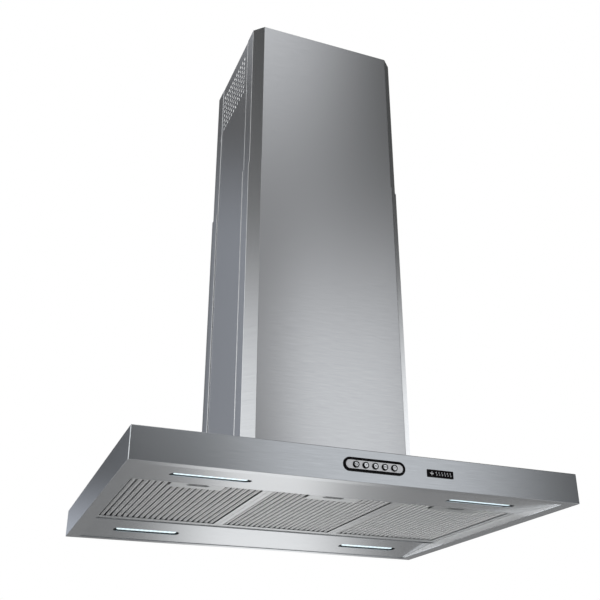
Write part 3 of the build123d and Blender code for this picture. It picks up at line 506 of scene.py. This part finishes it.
def airHoleTree(sizes, material):
    tree, given = sizedTree("airHoles", sizes)

    # one cell lies in XY: its middle is cut out and the edge of that window is pushed onto a circle
    cell = addNode(tree, "GeometryNodeMeshGrid", {"Size X": given["Pitch Z"], "Size Y": given["Pitch Y"],
                                                  "Vertices X": given["Cell Steps"],
                                                  "Vertices Y": given["Cell Steps"]})
    spot = addNode(tree, "GeometryNodeInputPosition")
    parts = addNode(tree, "ShaderNodeSeparateXYZ", {0: spot}).outputs
    # how far out a point lies, as a share of the half cell
    shares = []
    for axis, pitch in (("X", "Pitch Z"), ("Y", "Pitch Y")):
        away = addNode(tree, "ShaderNodeMath", {0: parts[axis]}, operation="ABSOLUTE")
        halfCell = addNode(tree, "ShaderNodeMath", {0: given[pitch], 1: 0.5}, operation="MULTIPLY")
        shares.append(addNode(tree, "ShaderNodeMath", {0: away, 1: halfCell}, operation="DIVIDE"))
    reach = addNode(tree, "ShaderNodeMath", {0: shares[0], 1: shares[1]}, operation="MAXIMUM")
    inside = addNode(tree, "ShaderNodeMath", {0: reach, 1: given["Window Share"]}, operation="LESS_THAN")
    opened = addNode(tree, "GeometryNodeDeleteGeometry", {"Geometry": cell, "Selection": inside},
                     domain="FACE")
    out = addNode(tree, "ShaderNodeMapRange", {"Value": reach, "From Min": given["Window Share"],
                                               "From Max": 1.0})
    ray = addNode(tree, "ShaderNodeVectorMath", {0: spot}, operation="NORMALIZE")
    rim = addNode(tree, "ShaderNodeVectorMath", {0: ray, "Scale": given["Hole Radius"]}, operation="SCALE")
    rounded = addNode(tree, "ShaderNodeMix", {"Factor": out, 4: rim, 5: spot}, data_type="VECTOR")
    dish = addNode(tree, "ShaderNodeMapRange", {
        "Value": out, "From Min": 0.0, "From Max": given["Rim Share"], "To Min": -1.0,
        "To Max": 0.0}, interpolation_type="SMOOTHSTEP")
    depth = addNode(tree, "ShaderNodeMath", {0: dish, 1: given["Rim Depth"]}, operation="MULTIPLY")
    sunk = addNode(tree, "ShaderNodeCombineXYZ", {"Z": depth})
    shaped = addNode(tree, "GeometryNodeSetPosition", {"Geometry": opened, "Position": rounded,
                                                       "Offset": sunk})
    spans = []
    for pitch, count in (("Pitch Z", "Rows"), ("Pitch Y", "Columns")):
        gaps = addNode(tree, "ShaderNodeMath", {0: given[count], 1: 1.0}, operation="SUBTRACT")
        spans.append(addNode(tree, "ShaderNodeMath", {0: given[pitch], 1: gaps}, operation="MULTIPLY"))
    field = addNode(tree, "GeometryNodeMeshGrid", {
        "Size X": spans[0], "Size Y": spans[1], "Vertices X": given["Rows"], "Vertices Y": given["Columns"]})
    cells = addNode(tree, "GeometryNodeInstanceOnPoints", {"Points": field, "Instance": shaped})
    finishTree(tree, cells, material)
    return tree


def makeVentedPanels(settings):
    material = finish["coverSteel"]
    sizes = settings["sizes"]
    tree = airHoleTree(sizes, material)
    holes = growMesh("airHoles", [], [], tree, sizes)
    halfY, halfZ = sizes["Pitch Y"] * sizes["Columns"] / 2, sizes["Pitch Z"] * sizes["Rows"] / 2
    midY, midZ = settings["centreYMm"] * millimetre, settings["centreZMm"] * millimetre
    for word, side in (("left", -1), ("right", 1)):
        node = f"upper_side_panel_{word}"
        low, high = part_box(node)
        outer = side * max(abs(low[0]), abs(high[0]))
        sheet = bmesh.new()
        sheet.from_mesh(holes)
        for vertex in sheet.verts:
            # the field stands up: its X runs up the panel, its Y along the hood, its Z outwards
            up, along, out = vertex.co
            vertex.co = (outer + side * out, midY + along, midZ + up)
        # plain sheet on the four sides of the field
        for lowY, highY, lowZ, highZ in ((low[1], high[1], low[2], midZ - halfZ),
                                         (low[1], high[1], midZ + halfZ, high[2]),
                                         (low[1], midY - halfY, midZ - halfZ, midZ + halfZ),
                                         (midY + halfY, high[1], midZ - halfZ, midZ + halfZ)):
            corners = ((lowY, lowZ), (highY, lowZ), (highY, highZ), (lowY, highZ))
            sheet.faces.new([sheet.verts.new((outer, y, z)) for y, z in corners])
        bmesh.ops.remove_doubles(sheet, verts=sheet.verts, dist=1e-6)
        for face in sheet.faces:
            face.normal_update()
            if face.normal.x * side < 0:
                face.normal_flip()
        flat = bpy.data.meshes.new(node)
        sheet.to_mesh(flat)
        sheet.free()
        thick = walledMesh(node, flat, settings["sheetMm"], material)
        placePiece(f"upperSidePanel{word.title()}", joinedMesh(node, [thick], material), "ceiling_unit",
                   "brushed_cover", node)


makeVentedPanels(panelSettings)
print("stage: vented panels punched")


# baffles: channels with round bends below, and roof channels over the gaps between them

baffleSettings = {
    "sheetMm": 0.6, "widthMm": 6.6, "heightMm": 4.0, "roofWidthMm": 7.2, "roofFootMm": 3.0, "roofTopMm": 6.8,
    "latchPlateRearMm": -124.0, "shortChannels": 9, "channels": 21,
    "sizes": {"Bend Radius": 0.0016, "Bend Steps": 4, "Length": 0.3, "Pitch": 0.0102, "Count": 20},
}


def channelTree(sizes, material):
    tree, given = sizedTree("channelRow", sizes)
    profile = addNode(tree, "GeometryNodeMeshToCurve", {0: given["Geometry"]})
    bent = addNode(tree, "GeometryNodeFilletCurve", {
        "Curve": profile, "Count": given["Bend Steps"], "Radius": given["Bend Radius"],
        "Limit Radius": True}, mode="POLY")
    line = addNode(tree, "GeometryNodeCurveToMesh", {"Curve": bent.outputs[0]})
    back = addNode(tree, "ShaderNodeCombineXYZ", {"Y": given["Length"]})
    channel = addNode(tree, "GeometryNodeExtrudeMesh", {"Mesh": line.outputs[0], "Offset": back.outputs[0]},
                      mode="EDGES")
    step = addNode(tree, "ShaderNodeCombineXYZ", {"X": given["Pitch"]})
    row = addNode(tree, "GeometryNodeMeshLine", {"Count": given["Count"], "Offset": step.outputs[0]})
    placed = addNode(tree, "GeometryNodeInstanceOnPoints", {"Points": row.outputs[0],
                                                            "Instance": channel.outputs["Mesh"]})
    finishTree(tree, placed.outputs[0], material)
    return tree


def makeBaffles(settings):
    material = finish["baffleSteel"]
    tree = channelTree(settings["sizes"], material)
    pitch = settings["sizes"]["Pitch"]
    for word in ("left", "middle", "right"):
        node = f"baffles_{word}"
        low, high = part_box(node)
        centre = (low[0] + high[0]) / 2
        short = settings["shortChannels"]
        beside = (settings["channels"] - short) // 2
        latchRear = settings["latchPlateRearMm"] * millimetre

        def row(first, count, width, foot, top, front, part):
            # the open side of the profile is at foot, its bent side at top
            x, half = centre + first * pitch, width * millimetre / 2
            footZ, topZ = low[2] + foot * millimetre, low[2] + top * millimetre
            corners = [(x - half, front, footZ), (x - half, front, topZ), (x + half, front, topZ),
                       (x + half, front, footZ)]
            sizes = dict(settings["sizes"], Length=high[1] - front, Count=count)
            bare = growMesh(node + part, corners, [(0, 1), (1, 2), (2, 3)], tree, sizes)
            return walledMesh(node + part, bare, settings["sheetMm"], material)

        width, height = settings["widthMm"], settings["heightMm"]
        meshes = [
            row(-(settings["channels"] - 1) / 2, beside, width, height, 0.0, low[1], "Left"),
            row((short + 1) / 2, beside, width, height, 0.0, low[1], "Right"),
            row(-(short - 1) / 2, short, width, height, 0.0, latchRear, "Short"),
            row(-(settings["channels"] - 2) / 2, settings["channels"] - 1, settings["roofWidthMm"],
                settings["roofFootMm"], settings["roofTopMm"], low[1], "Roof"),
        ]
        placePiece(f"baffles{word.title()}", joinedMesh(node, meshes, material), f"filter_{word}",
                   "filter_steel", node)


makeBaffles(baffleSettings)
print("stage: baffles made")


# fine lines inlaid along a path: the signs on the buttons and the badge

lineSettings = {"Wire Radius": 0.0003, "Wire Steps": 8}


def wireTree(sizes, material):
    tree, given = sizedTree("inlaidLines", sizes)
    path = addNode(tree, "GeometryNodeMeshToCurve", {0: given["Geometry"]})
    section = addNode(tree, "GeometryNodeCurvePrimitiveCircle", {"Resolution": given["Wire Steps"],
                                                                 "Radius": given["Wire Radius"]})
    wire = addNode(tree, "GeometryNodeCurveToMesh", {"Curve": path.outputs[0], "Fill Caps": True,
                                                     "Profile Curve": section.outputs["Curve"]})
    finishTree(tree, wire.outputs[0], material)
    return tree


def wireMesh(name, middle, paths, radius, flatness, material):
    # each path is a list of (x, z) in millimetres round the middle, and whether it closes on itself
    points, edges = [], []
    for path, closed in paths:
        first = len(points)
        points += [(middle.x + x * millimetre, middle.y, middle.z + z * millimetre) for x, z in path]
        edges += [(first + i, first + i + 1) for i in range(len(path) - 1)]
        if closed:
            edges.append((len(points) - 1, first))
    sizes = dict(lineSettings, **{"Wire Radius": radius * millimetre})
    mesh = growMesh(name, points, edges, wireTree(sizes, material), sizes)
    for vertex in mesh.vertices:
        vertex.co.y = middle.y + (vertex.co.y - middle.y) * flatness
    return mesh


def arcPath(radius, startDegrees, endDegrees, steps=24, centre=(0.0, 0.0)):
    # degrees run clockwise from the top
    turn = [math.radians(startDegrees + (endDegrees - startDegrees) * i / steps) for i in range(steps + 1)]
    return [(centre[0] + radius * math.sin(a), centre[1] + radius * math.cos(a)) for a in turn]


def discPath(radius, centre):
    return arcPath(radius, 0, 345, 23, centre), True


# push buttons: black sleeve, satin chrome cap and a printed sign that move together

buttonSettings = {"count": 5, "capRadiusMm": 3.6, "sleeveInsideMm": 3.7, "sleeveSetBackMm": 0.25,
                  "capSetBackMm": 0.12, "dishMm": 0.12, "edgeMm": 0.35, "signRadiusMm": 0.42,
                  "signFlatness": 0.28}
buttonSigns = {
    # power, three fan speeds, lamp
    1: [(arcPath(1.7, 38, 322), False), ([(0.0, 0.6), (0.0, 2.3)], False)],
    2: [discPath(0.45, (0.0, 0.0))],
    3: [discPath(0.45, (x, 0.0)) for x in (-1.0, 1.0)],
    4: [discPath(0.4, (x, 0.0)) for x in (-1.8, 0.0, 1.8)],
    5: [(arcPath(1.2, -150, 150, centre=(0.0, 0.5)), False), ([(-0.6, -1.7), (0.6, -1.7)], False)],
}


def turnedMesh(name, profile, middle, material, steps=48):
    # spins (radius, depth) in millimetres round a line along Y; depth grows away from the user
    shape = bmesh.new()
    rings = []
    for radius, depth in profile:
        count = steps if radius else 1
        turns = [2 * math.pi * i / steps for i in range(count)]
        reach = radius * millimetre
        rings.append([shape.verts.new((middle.x + reach * math.cos(a), middle.y + depth * millimetre,
                                       middle.z + reach * math.sin(a))) for a in turns])
    for near, far in zip(rings, rings[1:] + rings[:1]):
        for i in range(steps):
            corners = [near[i % len(near)], near[(i + 1) % len(near)],
                       far[(i + 1) % len(far)], far[i % len(far)]]
            face = list(dict.fromkeys(corners))
            if len(face) > 2:
                shape.faces.new(face)
    bmesh.ops.recalc_face_normals(shape, faces=shape.faces)
    mesh = bpy.data.meshes.new(name)
    shape.to_mesh(mesh)
    shape.free()
    mesh.materials.append(material)
    return mesh


def makeButtons(settings):
    edge, inside, sleeveBack = settings["edgeMm"], settings["sleeveInsideMm"], settings["sleeveSetBackMm"]
    cap, capBack, dish = settings["capRadiusMm"], settings["capSetBackMm"], settings["dishMm"]
    for index in range(1, settings["count"] + 1):
        node = f"button_{index}"
        low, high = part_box(node)
        length = (high.y - low.y) / millimetre
        radius = (high.x - low.x) / 2 / millimetre
        front = Vector(((low.x + high.x) / 2, low.y, (low.z + high.z) / 2))
        sleeve = turnedMesh(node + "Sleeve", [
            (inside, sleeveBack + edge), (inside + edge / 2, sleeveBack), (radius - edge, sleeveBack),
            (radius - edge * 0.3, sleeveBack + edge * 0.3), (radius, sleeveBack + edge), (radius, length),
            (inside, length)], front, finish["glossBlackAbs"])
        placePiece(f"buttonSleeve{index}", sleeve, node, "black_moulding", node)
        capMesh = turnedMesh(node + "Cap", [
            (0, capBack + dish), (cap * 0.35, capBack + dish * 0.85), (cap * 0.7, capBack + dish * 0.35),
            (cap - edge, capBack), (cap - edge * 0.3, capBack + edge * 0.3), (cap, capBack + edge),
            (cap, length / 2), (0, length / 2)], front, finish["satinChrome"])
        placePiece(f"buttonCap{index}", capMesh, node, "button_metal", node)
        signSpot = front + Vector((0, (capBack + dish * 0.5) * millimetre, 0))
        sign = wireMesh(node + "Sign", signSpot, buttonSigns[index], settings["signRadiusMm"],
                        settings["signFlatness"], finish["darkPrint"])
        placePiece(f"buttonSign{index}", sign, node, "black_moulding", node)


makeButtons(buttonSettings)
print("stage: buttons made")


# badge: a fan and rising air drawn in silver line, no lettering

badgeSettings = {"lineRadiusMm": 0.5, "flatness": 0.3, "fanXMm": -15.0, "hubMm": 0.5, "petalStartMm": 0.7,
                 "petalLengthMm": 2.0735, "petalWidthMm": 1.1, "petalPoints": 16, "blades": 4,
                 "waves": 6, "waveStartMm": -6.8, "wavePitchMm": 5.0, "waveHeightMm": 2.7, "waveSwingMm": 0.9}


def fanPaths(settings):
    paths = [(arcPath(settings["hubMm"], 0, 330, 11, (settings["fanXMm"], 0.0)), True)]
    count = settings["petalPoints"]
    turns = [2 * math.pi * i / count for i in range(count)]
    petal = [(settings["petalStartMm"] + settings["petalLengthMm"] * (1 - math.cos(t)) / 2,
              settings["petalWidthMm"] / 2 * math.sin(t)) for t in turns]
    for blade in range(settings["blades"]):
        lean = math.radians(360 / settings["blades"] * blade)
        paths.append(([(settings["fanXMm"] + x * math.sin(lean) + z * math.cos(lean),
                        x * math.cos(lean) - z * math.sin(lean)) for x, z in petal], True))
    return paths


def makeBadgeTrim(settings):
    low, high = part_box("badge")
    front = Vector(((low.x + high.x) / 2, low.y, (low.z + high.z) / 2))
    paths = fanPaths(settings)
    for index in range(settings["waves"]):
        x = settings["waveStartMm"] + index * settings["wavePitchMm"]
        wave = [(x + settings["waveSwingMm"] * math.sin(2 * math.pi * t),
                 settings["waveHeightMm"] * (2 * t - 1)) for t in (i / 16 for i in range(17))]
        paths.append((wave, False))
    trim = wireMesh("badgeTrim", front, paths, settings["lineRadiusMm"], settings["flatness"],
                    finish["satinChrome"])
    placePiece("badgeTrim", trim, "hood_unit", "silver_plate")


makeBadgeTrim(badgeSettings)
print("stage: badge trimmed")


# cover screws: domed heads with a cross recess

screwSettings = {"sizes": {"Head Radius": 0.0026, "Head Height": 0.0011, "Dome Share": 1.3,
                           "Recess Length": 0.0028, "Recess Width": 0.0007, "Recess Depth": 0.0007,
                           "Shank Radius": 0.0012, "Shank Length": 0.0035}}


def screwTree(sizes, material):
    # one screw stands on XY with its head up, is laid along X and set on each point, head outwards
    tree, given = sizedTree("crossScrews", sizes)

    height = given["Head Height"]
    # the head is a squashed ball above the sheet, trimmed to a cylinder
    ballRadius = addNode(tree, "ShaderNodeMath", {0: given["Head Radius"], 1: given["Dome Share"]},
                         operation="MULTIPLY")
    ball = addNode(tree, "GeometryNodeMeshUVSphere", {"Segments": 32, "Rings": 24, "Radius": ballRadius})
    squash = addNode(tree, "ShaderNodeMath", {0: height, 1: ballRadius}, operation="DIVIDE")
    squeeze = addNode(tree, "ShaderNodeCombineXYZ", {"X": 1.0, "Y": 1.0, "Z": squash})
    dome = addNode(tree, "GeometryNodeTransform", {"Geometry": ball, "Scale": squeeze})
    blankDepth = addNode(tree, "ShaderNodeMath", {0: height, 1: 1.2}, operation="MULTIPLY")
    blank = addNode(tree, "GeometryNodeMeshCylinder", {"Vertices": 32, "Radius": given["Head Radius"],
                                                       "Depth": blankDepth})
    blankLift = addNode(tree, "ShaderNodeMath", {0: height, 1: 0.6}, operation="MULTIPLY")
    recessDepth = given["Recess Depth"]
    shank = addNode(tree, "GeometryNodeMeshCylinder", {"Vertices": 24, "Radius": given["Shank Radius"],
                                                       "Depth": given["Shank Length"]})
    shankLift = addNode(tree, "ShaderNodeMath", {0: given["Shank Length"], 1: -0.5}, operation="MULTIPLY")
    slots = []
    for x, y in (("Recess Length", "Recess Width"), ("Recess Width", "Recess Length")):
        size = addNode(tree, "ShaderNodeCombineXYZ", {"X": given[x], "Y": given[y], "Z": recessDepth})
        slots.append(addNode(tree, "GeometryNodeMeshCube", {"Size": size}))
    lifted = []
    for shape, lift in ((blank, blankLift), (slots[0], height), (slots[1], height), (shank, shankLift)):
        rise = addNode(tree, "ShaderNodeCombineXYZ", {"Z": lift})
        lifted.append(addNode(tree, "GeometryNodeTransform", {"Geometry": shape, "Translation": rise}))
    head = addNode(tree, "GeometryNodeMeshBoolean", {"Mesh 2": lifted[0]}, operation="INTERSECT")
    tree.links.new(dome.outputs[0], head.inputs["Mesh 2"])
    recess = addNode(tree, "GeometryNodeMeshBoolean", {"Mesh 1": head, "Mesh 2": lifted[1]},
                     operation="DIFFERENCE")
    tree.links.new(lifted[2].outputs[0], recess.inputs["Mesh 2"])
    whole = addNode(tree, "GeometryNodeJoinGeometry", {0: recess})
    tree.links.new(lifted[3].outputs[0], whole.inputs[0])
    laid = addNode(tree, "GeometryNodeTransform", {"Geometry": whole, "Rotation": (0.0, math.pi / 2, 0.0)})
    spot = addNode(tree, "ShaderNodeSeparateXYZ", {0: addNode(tree, "GeometryNodeInputPosition")})
    isLeft = addNode(tree, "ShaderNodeMath", {0: spot.outputs["X"], 1: 0.0}, operation="LESS_THAN")
    turn = addNode(tree, "ShaderNodeMath", {0: isLeft, 1: math.pi}, operation="MULTIPLY")
    facing = addNode(tree, "ShaderNodeCombineXYZ", {"Z": turn})
    points = addNode(tree, "GeometryNodeMeshToPoints", {"Mesh": given["Geometry"]})
    placed = addNode(tree, "GeometryNodeInstanceOnPoints", {"Points": points, "Instance": laid,
                                                            "Rotation": facing})
    finishTree(tree, placed, material)
    return tree


def makeCoverScrews(settings):
    low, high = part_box("upper_cover_screws")
    sizes = settings["sizes"]
    radius, height = sizes["Head Radius"], sizes["Head Height"]
    places = [(sideX * (high.x - height), sideY * (high.y - radius), (low.z + high.z) / 2)
              for sideX in (-1, 1) for sideY in (-1, 1)]
    mesh = growMesh("coverScrews", places, [], screwTree(sizes, finish["zincPlate"]), sizes)
    placePiece("coverScrews", mesh, "ceiling_unit", "screw_steel", "upper_cover_screws")


makeCoverScrews(screwSettings)
print("stage: screws set")

# camera, light and floor

cameraSettings = {"place": (-0.5867, -1.4794, -1.3115), "turnRadians": 0.3754, "tiltRadians": 0.4481,
                  "lens": 52.6, "sensor": 36.0}


def makeCamera(settings):
    data = bpy.data.cameras.new("camera")
    data.lens = settings["lens"]
    data.sensor_width = settings["sensor"]
    data.clip_end = 100
    camera = bpy.data.objects.new("camera", data)
    camera.location = settings["place"]
    camera.rotation_euler = (math.pi / 2 + settings["tiltRadians"], 0, -settings["turnRadians"])
    bpy.context.collection.objects.link(camera)
    bpy.context.scene.camera = camera


# soft boxes far away: the middle's azimuth from -Y towards +X and its elevation, the half size of the
# evenly lit part and the width of its soft edge, all in degrees
softBoxes = {
    "front": {"azimuth": 27, "elevation": 12, "halfWidth": 4.5, "halfHeight": 9.5, "edgeWidth": 7.5,
              "edgeHeight": 11, "strength": 0.94, "colour": "#fafcff"},
    "frontLeft": {"azimuth": 15.5, "elevation": 22, "halfWidth": 3.5, "halfHeight": 3, "edgeWidth": 6,
                  "edgeHeight": 6, "strength": 0.4, "colour": "#fafcff"},
    "frontHigh": {"azimuth": 3, "elevation": 58, "halfWidth": 13, "halfHeight": 12, "edgeWidth": 20,
                  "edgeHeight": 18, "strength": 0.95, "colour": "#fafcff"},
    "left": {"azimuth": -72, "elevation": 12.5, "halfWidth": 20, "halfHeight": 9.5, "edgeWidth": 14,
             "edgeHeight": 6.5, "strength": 1.1, "colour": "#fbfdff"},
    "right": {"azimuth": 119, "elevation": 8, "halfWidth": 14, "halfHeight": 7, "edgeWidth": 10,
              "edgeHeight": 15, "strength": 1.3, "colour": "#fbfdff"},
    "backHigh": {"azimuth": -163, "elevation": 57, "halfWidth": 15, "halfHeight": 8, "edgeWidth": 15,
                 "edgeHeight": 12, "strength": 0.6, "colour": "#f2f6ff"},
    "backMiddle": {"azimuth": -156, "elevation": 21, "halfWidth": 8, "halfHeight": 8, "edgeWidth": 7,
                   "edgeHeight": 8, "strength": 0.31, "colour": "#e8f0ff"},
    "backLow": {"azimuth": -178, "elevation": 5, "halfWidth": 6, "halfHeight": 4, "edgeWidth": 6,
                "edgeHeight": 6, "strength": 0.7, "colour": "#eaf1ff"},
    "under": {"azimuth": 160.2, "elevation": -21, "halfWidth": 2, "halfHeight": 8, "edgeWidth": 7.5,
              "edgeHeight": 8, "strength": 1.0, "colour": "#ffffff"},
    "underTop": {"azimuth": 160.8, "elevation": -3, "halfWidth": 1, "halfHeight": 4, "edgeWidth": 5,
                 "edgeHeight": 7, "strength": 0.62, "colour": "#ffffff"},
    "underWide": {"azimuth": 160, "elevation": -15, "halfWidth": 20, "halfHeight": 18, "edgeWidth": 10,
                  "edgeHeight": 10, "strength": 0.2, "colour": "#ffffff"},
    "lowLeft": {"azimuth": -90, "elevation": -18, "halfWidth": 40, "halfHeight": 12, "edgeWidth": 20,
                "edgeHeight": 12, "strength": 0.5, "colour": "#ffffff"},
    "lowRight": {"azimuth": 60, "elevation": -18, "halfWidth": 40, "halfHeight": 12, "edgeWidth": 20,
                 "edgeHeight": 12, "strength": 0.5, "colour": "#ffffff"},
    # these catch only folds, hems and the rims of the air holes
    "hemStrip": {"azimuth": -118, "elevation": 34, "halfWidth": 16, "halfHeight": 26, "edgeWidth": 6,
                 "edgeHeight": 8, "strength": 2.0, "colour": "#ffffff"},
    "foldStrip": {"azimuth": -30, "elevation": 34, "halfWidth": 4, "halfHeight": 26, "edgeWidth": 4,
                  "edgeHeight": 8, "strength": 1.4, "colour": "#ffffff"},
    "rimLight": {"azimuth": -150, "elevation": -12, "halfWidth": 8, "halfHeight": 8, "edgeWidth": 8,
                 "edgeHeight": 8, "strength": 2.4, "colour": "#ffffff"},
    "overhead": {"azimuth": 0, "elevation": 90, "halfWidth": 180, "halfHeight": 12, "edgeWidth": 1,
                 "edgeHeight": 16, "strength": 0.9, "colour": "#ffffff"},
}
roomLight = 0.08


def makeStudioLight(boxes):
    world = bpy.data.worlds.new("studio")
    world.use_nodes = True
    bpy.context.scene.world = world
    tree = world.node_tree
    tree.nodes.clear()

    way = addNode(tree, "ShaderNodeTexCoord").outputs["Generated"]
    parts = addNode(tree, "ShaderNodeSeparateXYZ", {0: way}).outputs
    forward = addNode(tree, "ShaderNodeMath", {0: parts["Y"], 1: -1.0}, operation="MULTIPLY")
    azimuth = addNode(tree, "ShaderNodeMath", {0: parts["X"], 1: forward}, operation="ARCTAN2")
    elevation = addNode(tree, "ShaderNodeMath", {0: parts["Z"]}, operation="ARCSINE")
    total = (roomLight, roomLight, roomLight)
    for box in boxes.values():
        turned = addNode(tree, "ShaderNodeMath", {0: azimuth, 1: math.radians(box["azimuth"])},
                         operation="SUBTRACT")
        sideways = addNode(tree, "ShaderNodeMath", {0: turned, 1: math.pi, 2: -math.pi}, operation="WRAP")
        upward = addNode(tree, "ShaderNodeMath", {0: elevation, 1: math.radians(box["elevation"])},
                         operation="SUBTRACT")
        glow = box["strength"]
        for offset, half, edge in ((sideways, "halfWidth", "edgeWidth"),
                                   (upward, "halfHeight", "edgeHeight")):
            away = addNode(tree, "ShaderNodeMath", {0: offset}, operation="ABSOLUTE")
            fade = addNode(tree, "ShaderNodeMapRange", {
                "Value": away, "From Min": math.radians(box[half] + box[edge]),
                "From Max": math.radians(box[half])}, interpolation_type="SMOOTHSTEP")
            glow = addNode(tree, "ShaderNodeMath", {0: fade, 1: glow}, operation="MULTIPLY")
        tinted = addNode(tree, "ShaderNodeVectorMath", {0: hexColour(box["colour"])[:3], "Scale": glow},
                         operation="SCALE")
        total = addNode(tree, "ShaderNodeVectorMath", {0: tinted, 1: total}, operation="ADD")
    # whoever looks past the hood sees a plain white backdrop
    seen = addNode(tree, "ShaderNodeMix", {
        "Factor": addNode(tree, "ShaderNodeLightPath").outputs["Is Camera Ray"], 4: total,
        5: (1.0, 1.0, 1.0)}, data_type="VECTOR")
    background = addNode(tree, "ShaderNodeBackground", {"Color": seen, "Strength": 1.0})
    addNode(tree, "ShaderNodeOutputWorld", {"Surface": background})


floorSettings = {"height": -2.35, "size": 5.0, "colour": "#e9e9e8", "roughness": 0.8}


def makeFloor(settings):
    half, height = settings["size"] / 2, settings["height"]
    mesh = bpy.data.meshes.new("floor")
    corners = [(-half, -half, height), (half, -half, height), (half, half, height), (-half, half, height)]
    mesh.from_pydata(corners, [], [(0, 1, 2, 3)])
    floor = bpy.data.objects.new("floor", mesh)
    bpy.context.collection.objects.link(floor)
    material, tree = newMaterial("paleFloor")
    surface = addNode(tree, "ShaderNodeBsdfPrincipled", {"Base Color": hexColour(settings["colour"]),
                                                         "Roughness": settings["roughness"]})
    addNode(tree, "ShaderNodeOutputMaterial", {"Surface": surface})
    mesh.materials.append(material)


makeCamera(cameraSettings)
makeStudioLight(softBoxes)
makeFloor(floorSettings)
bpy.context.scene.view_settings.view_transform = "Standard"
print("stage: camera, light and floor made")
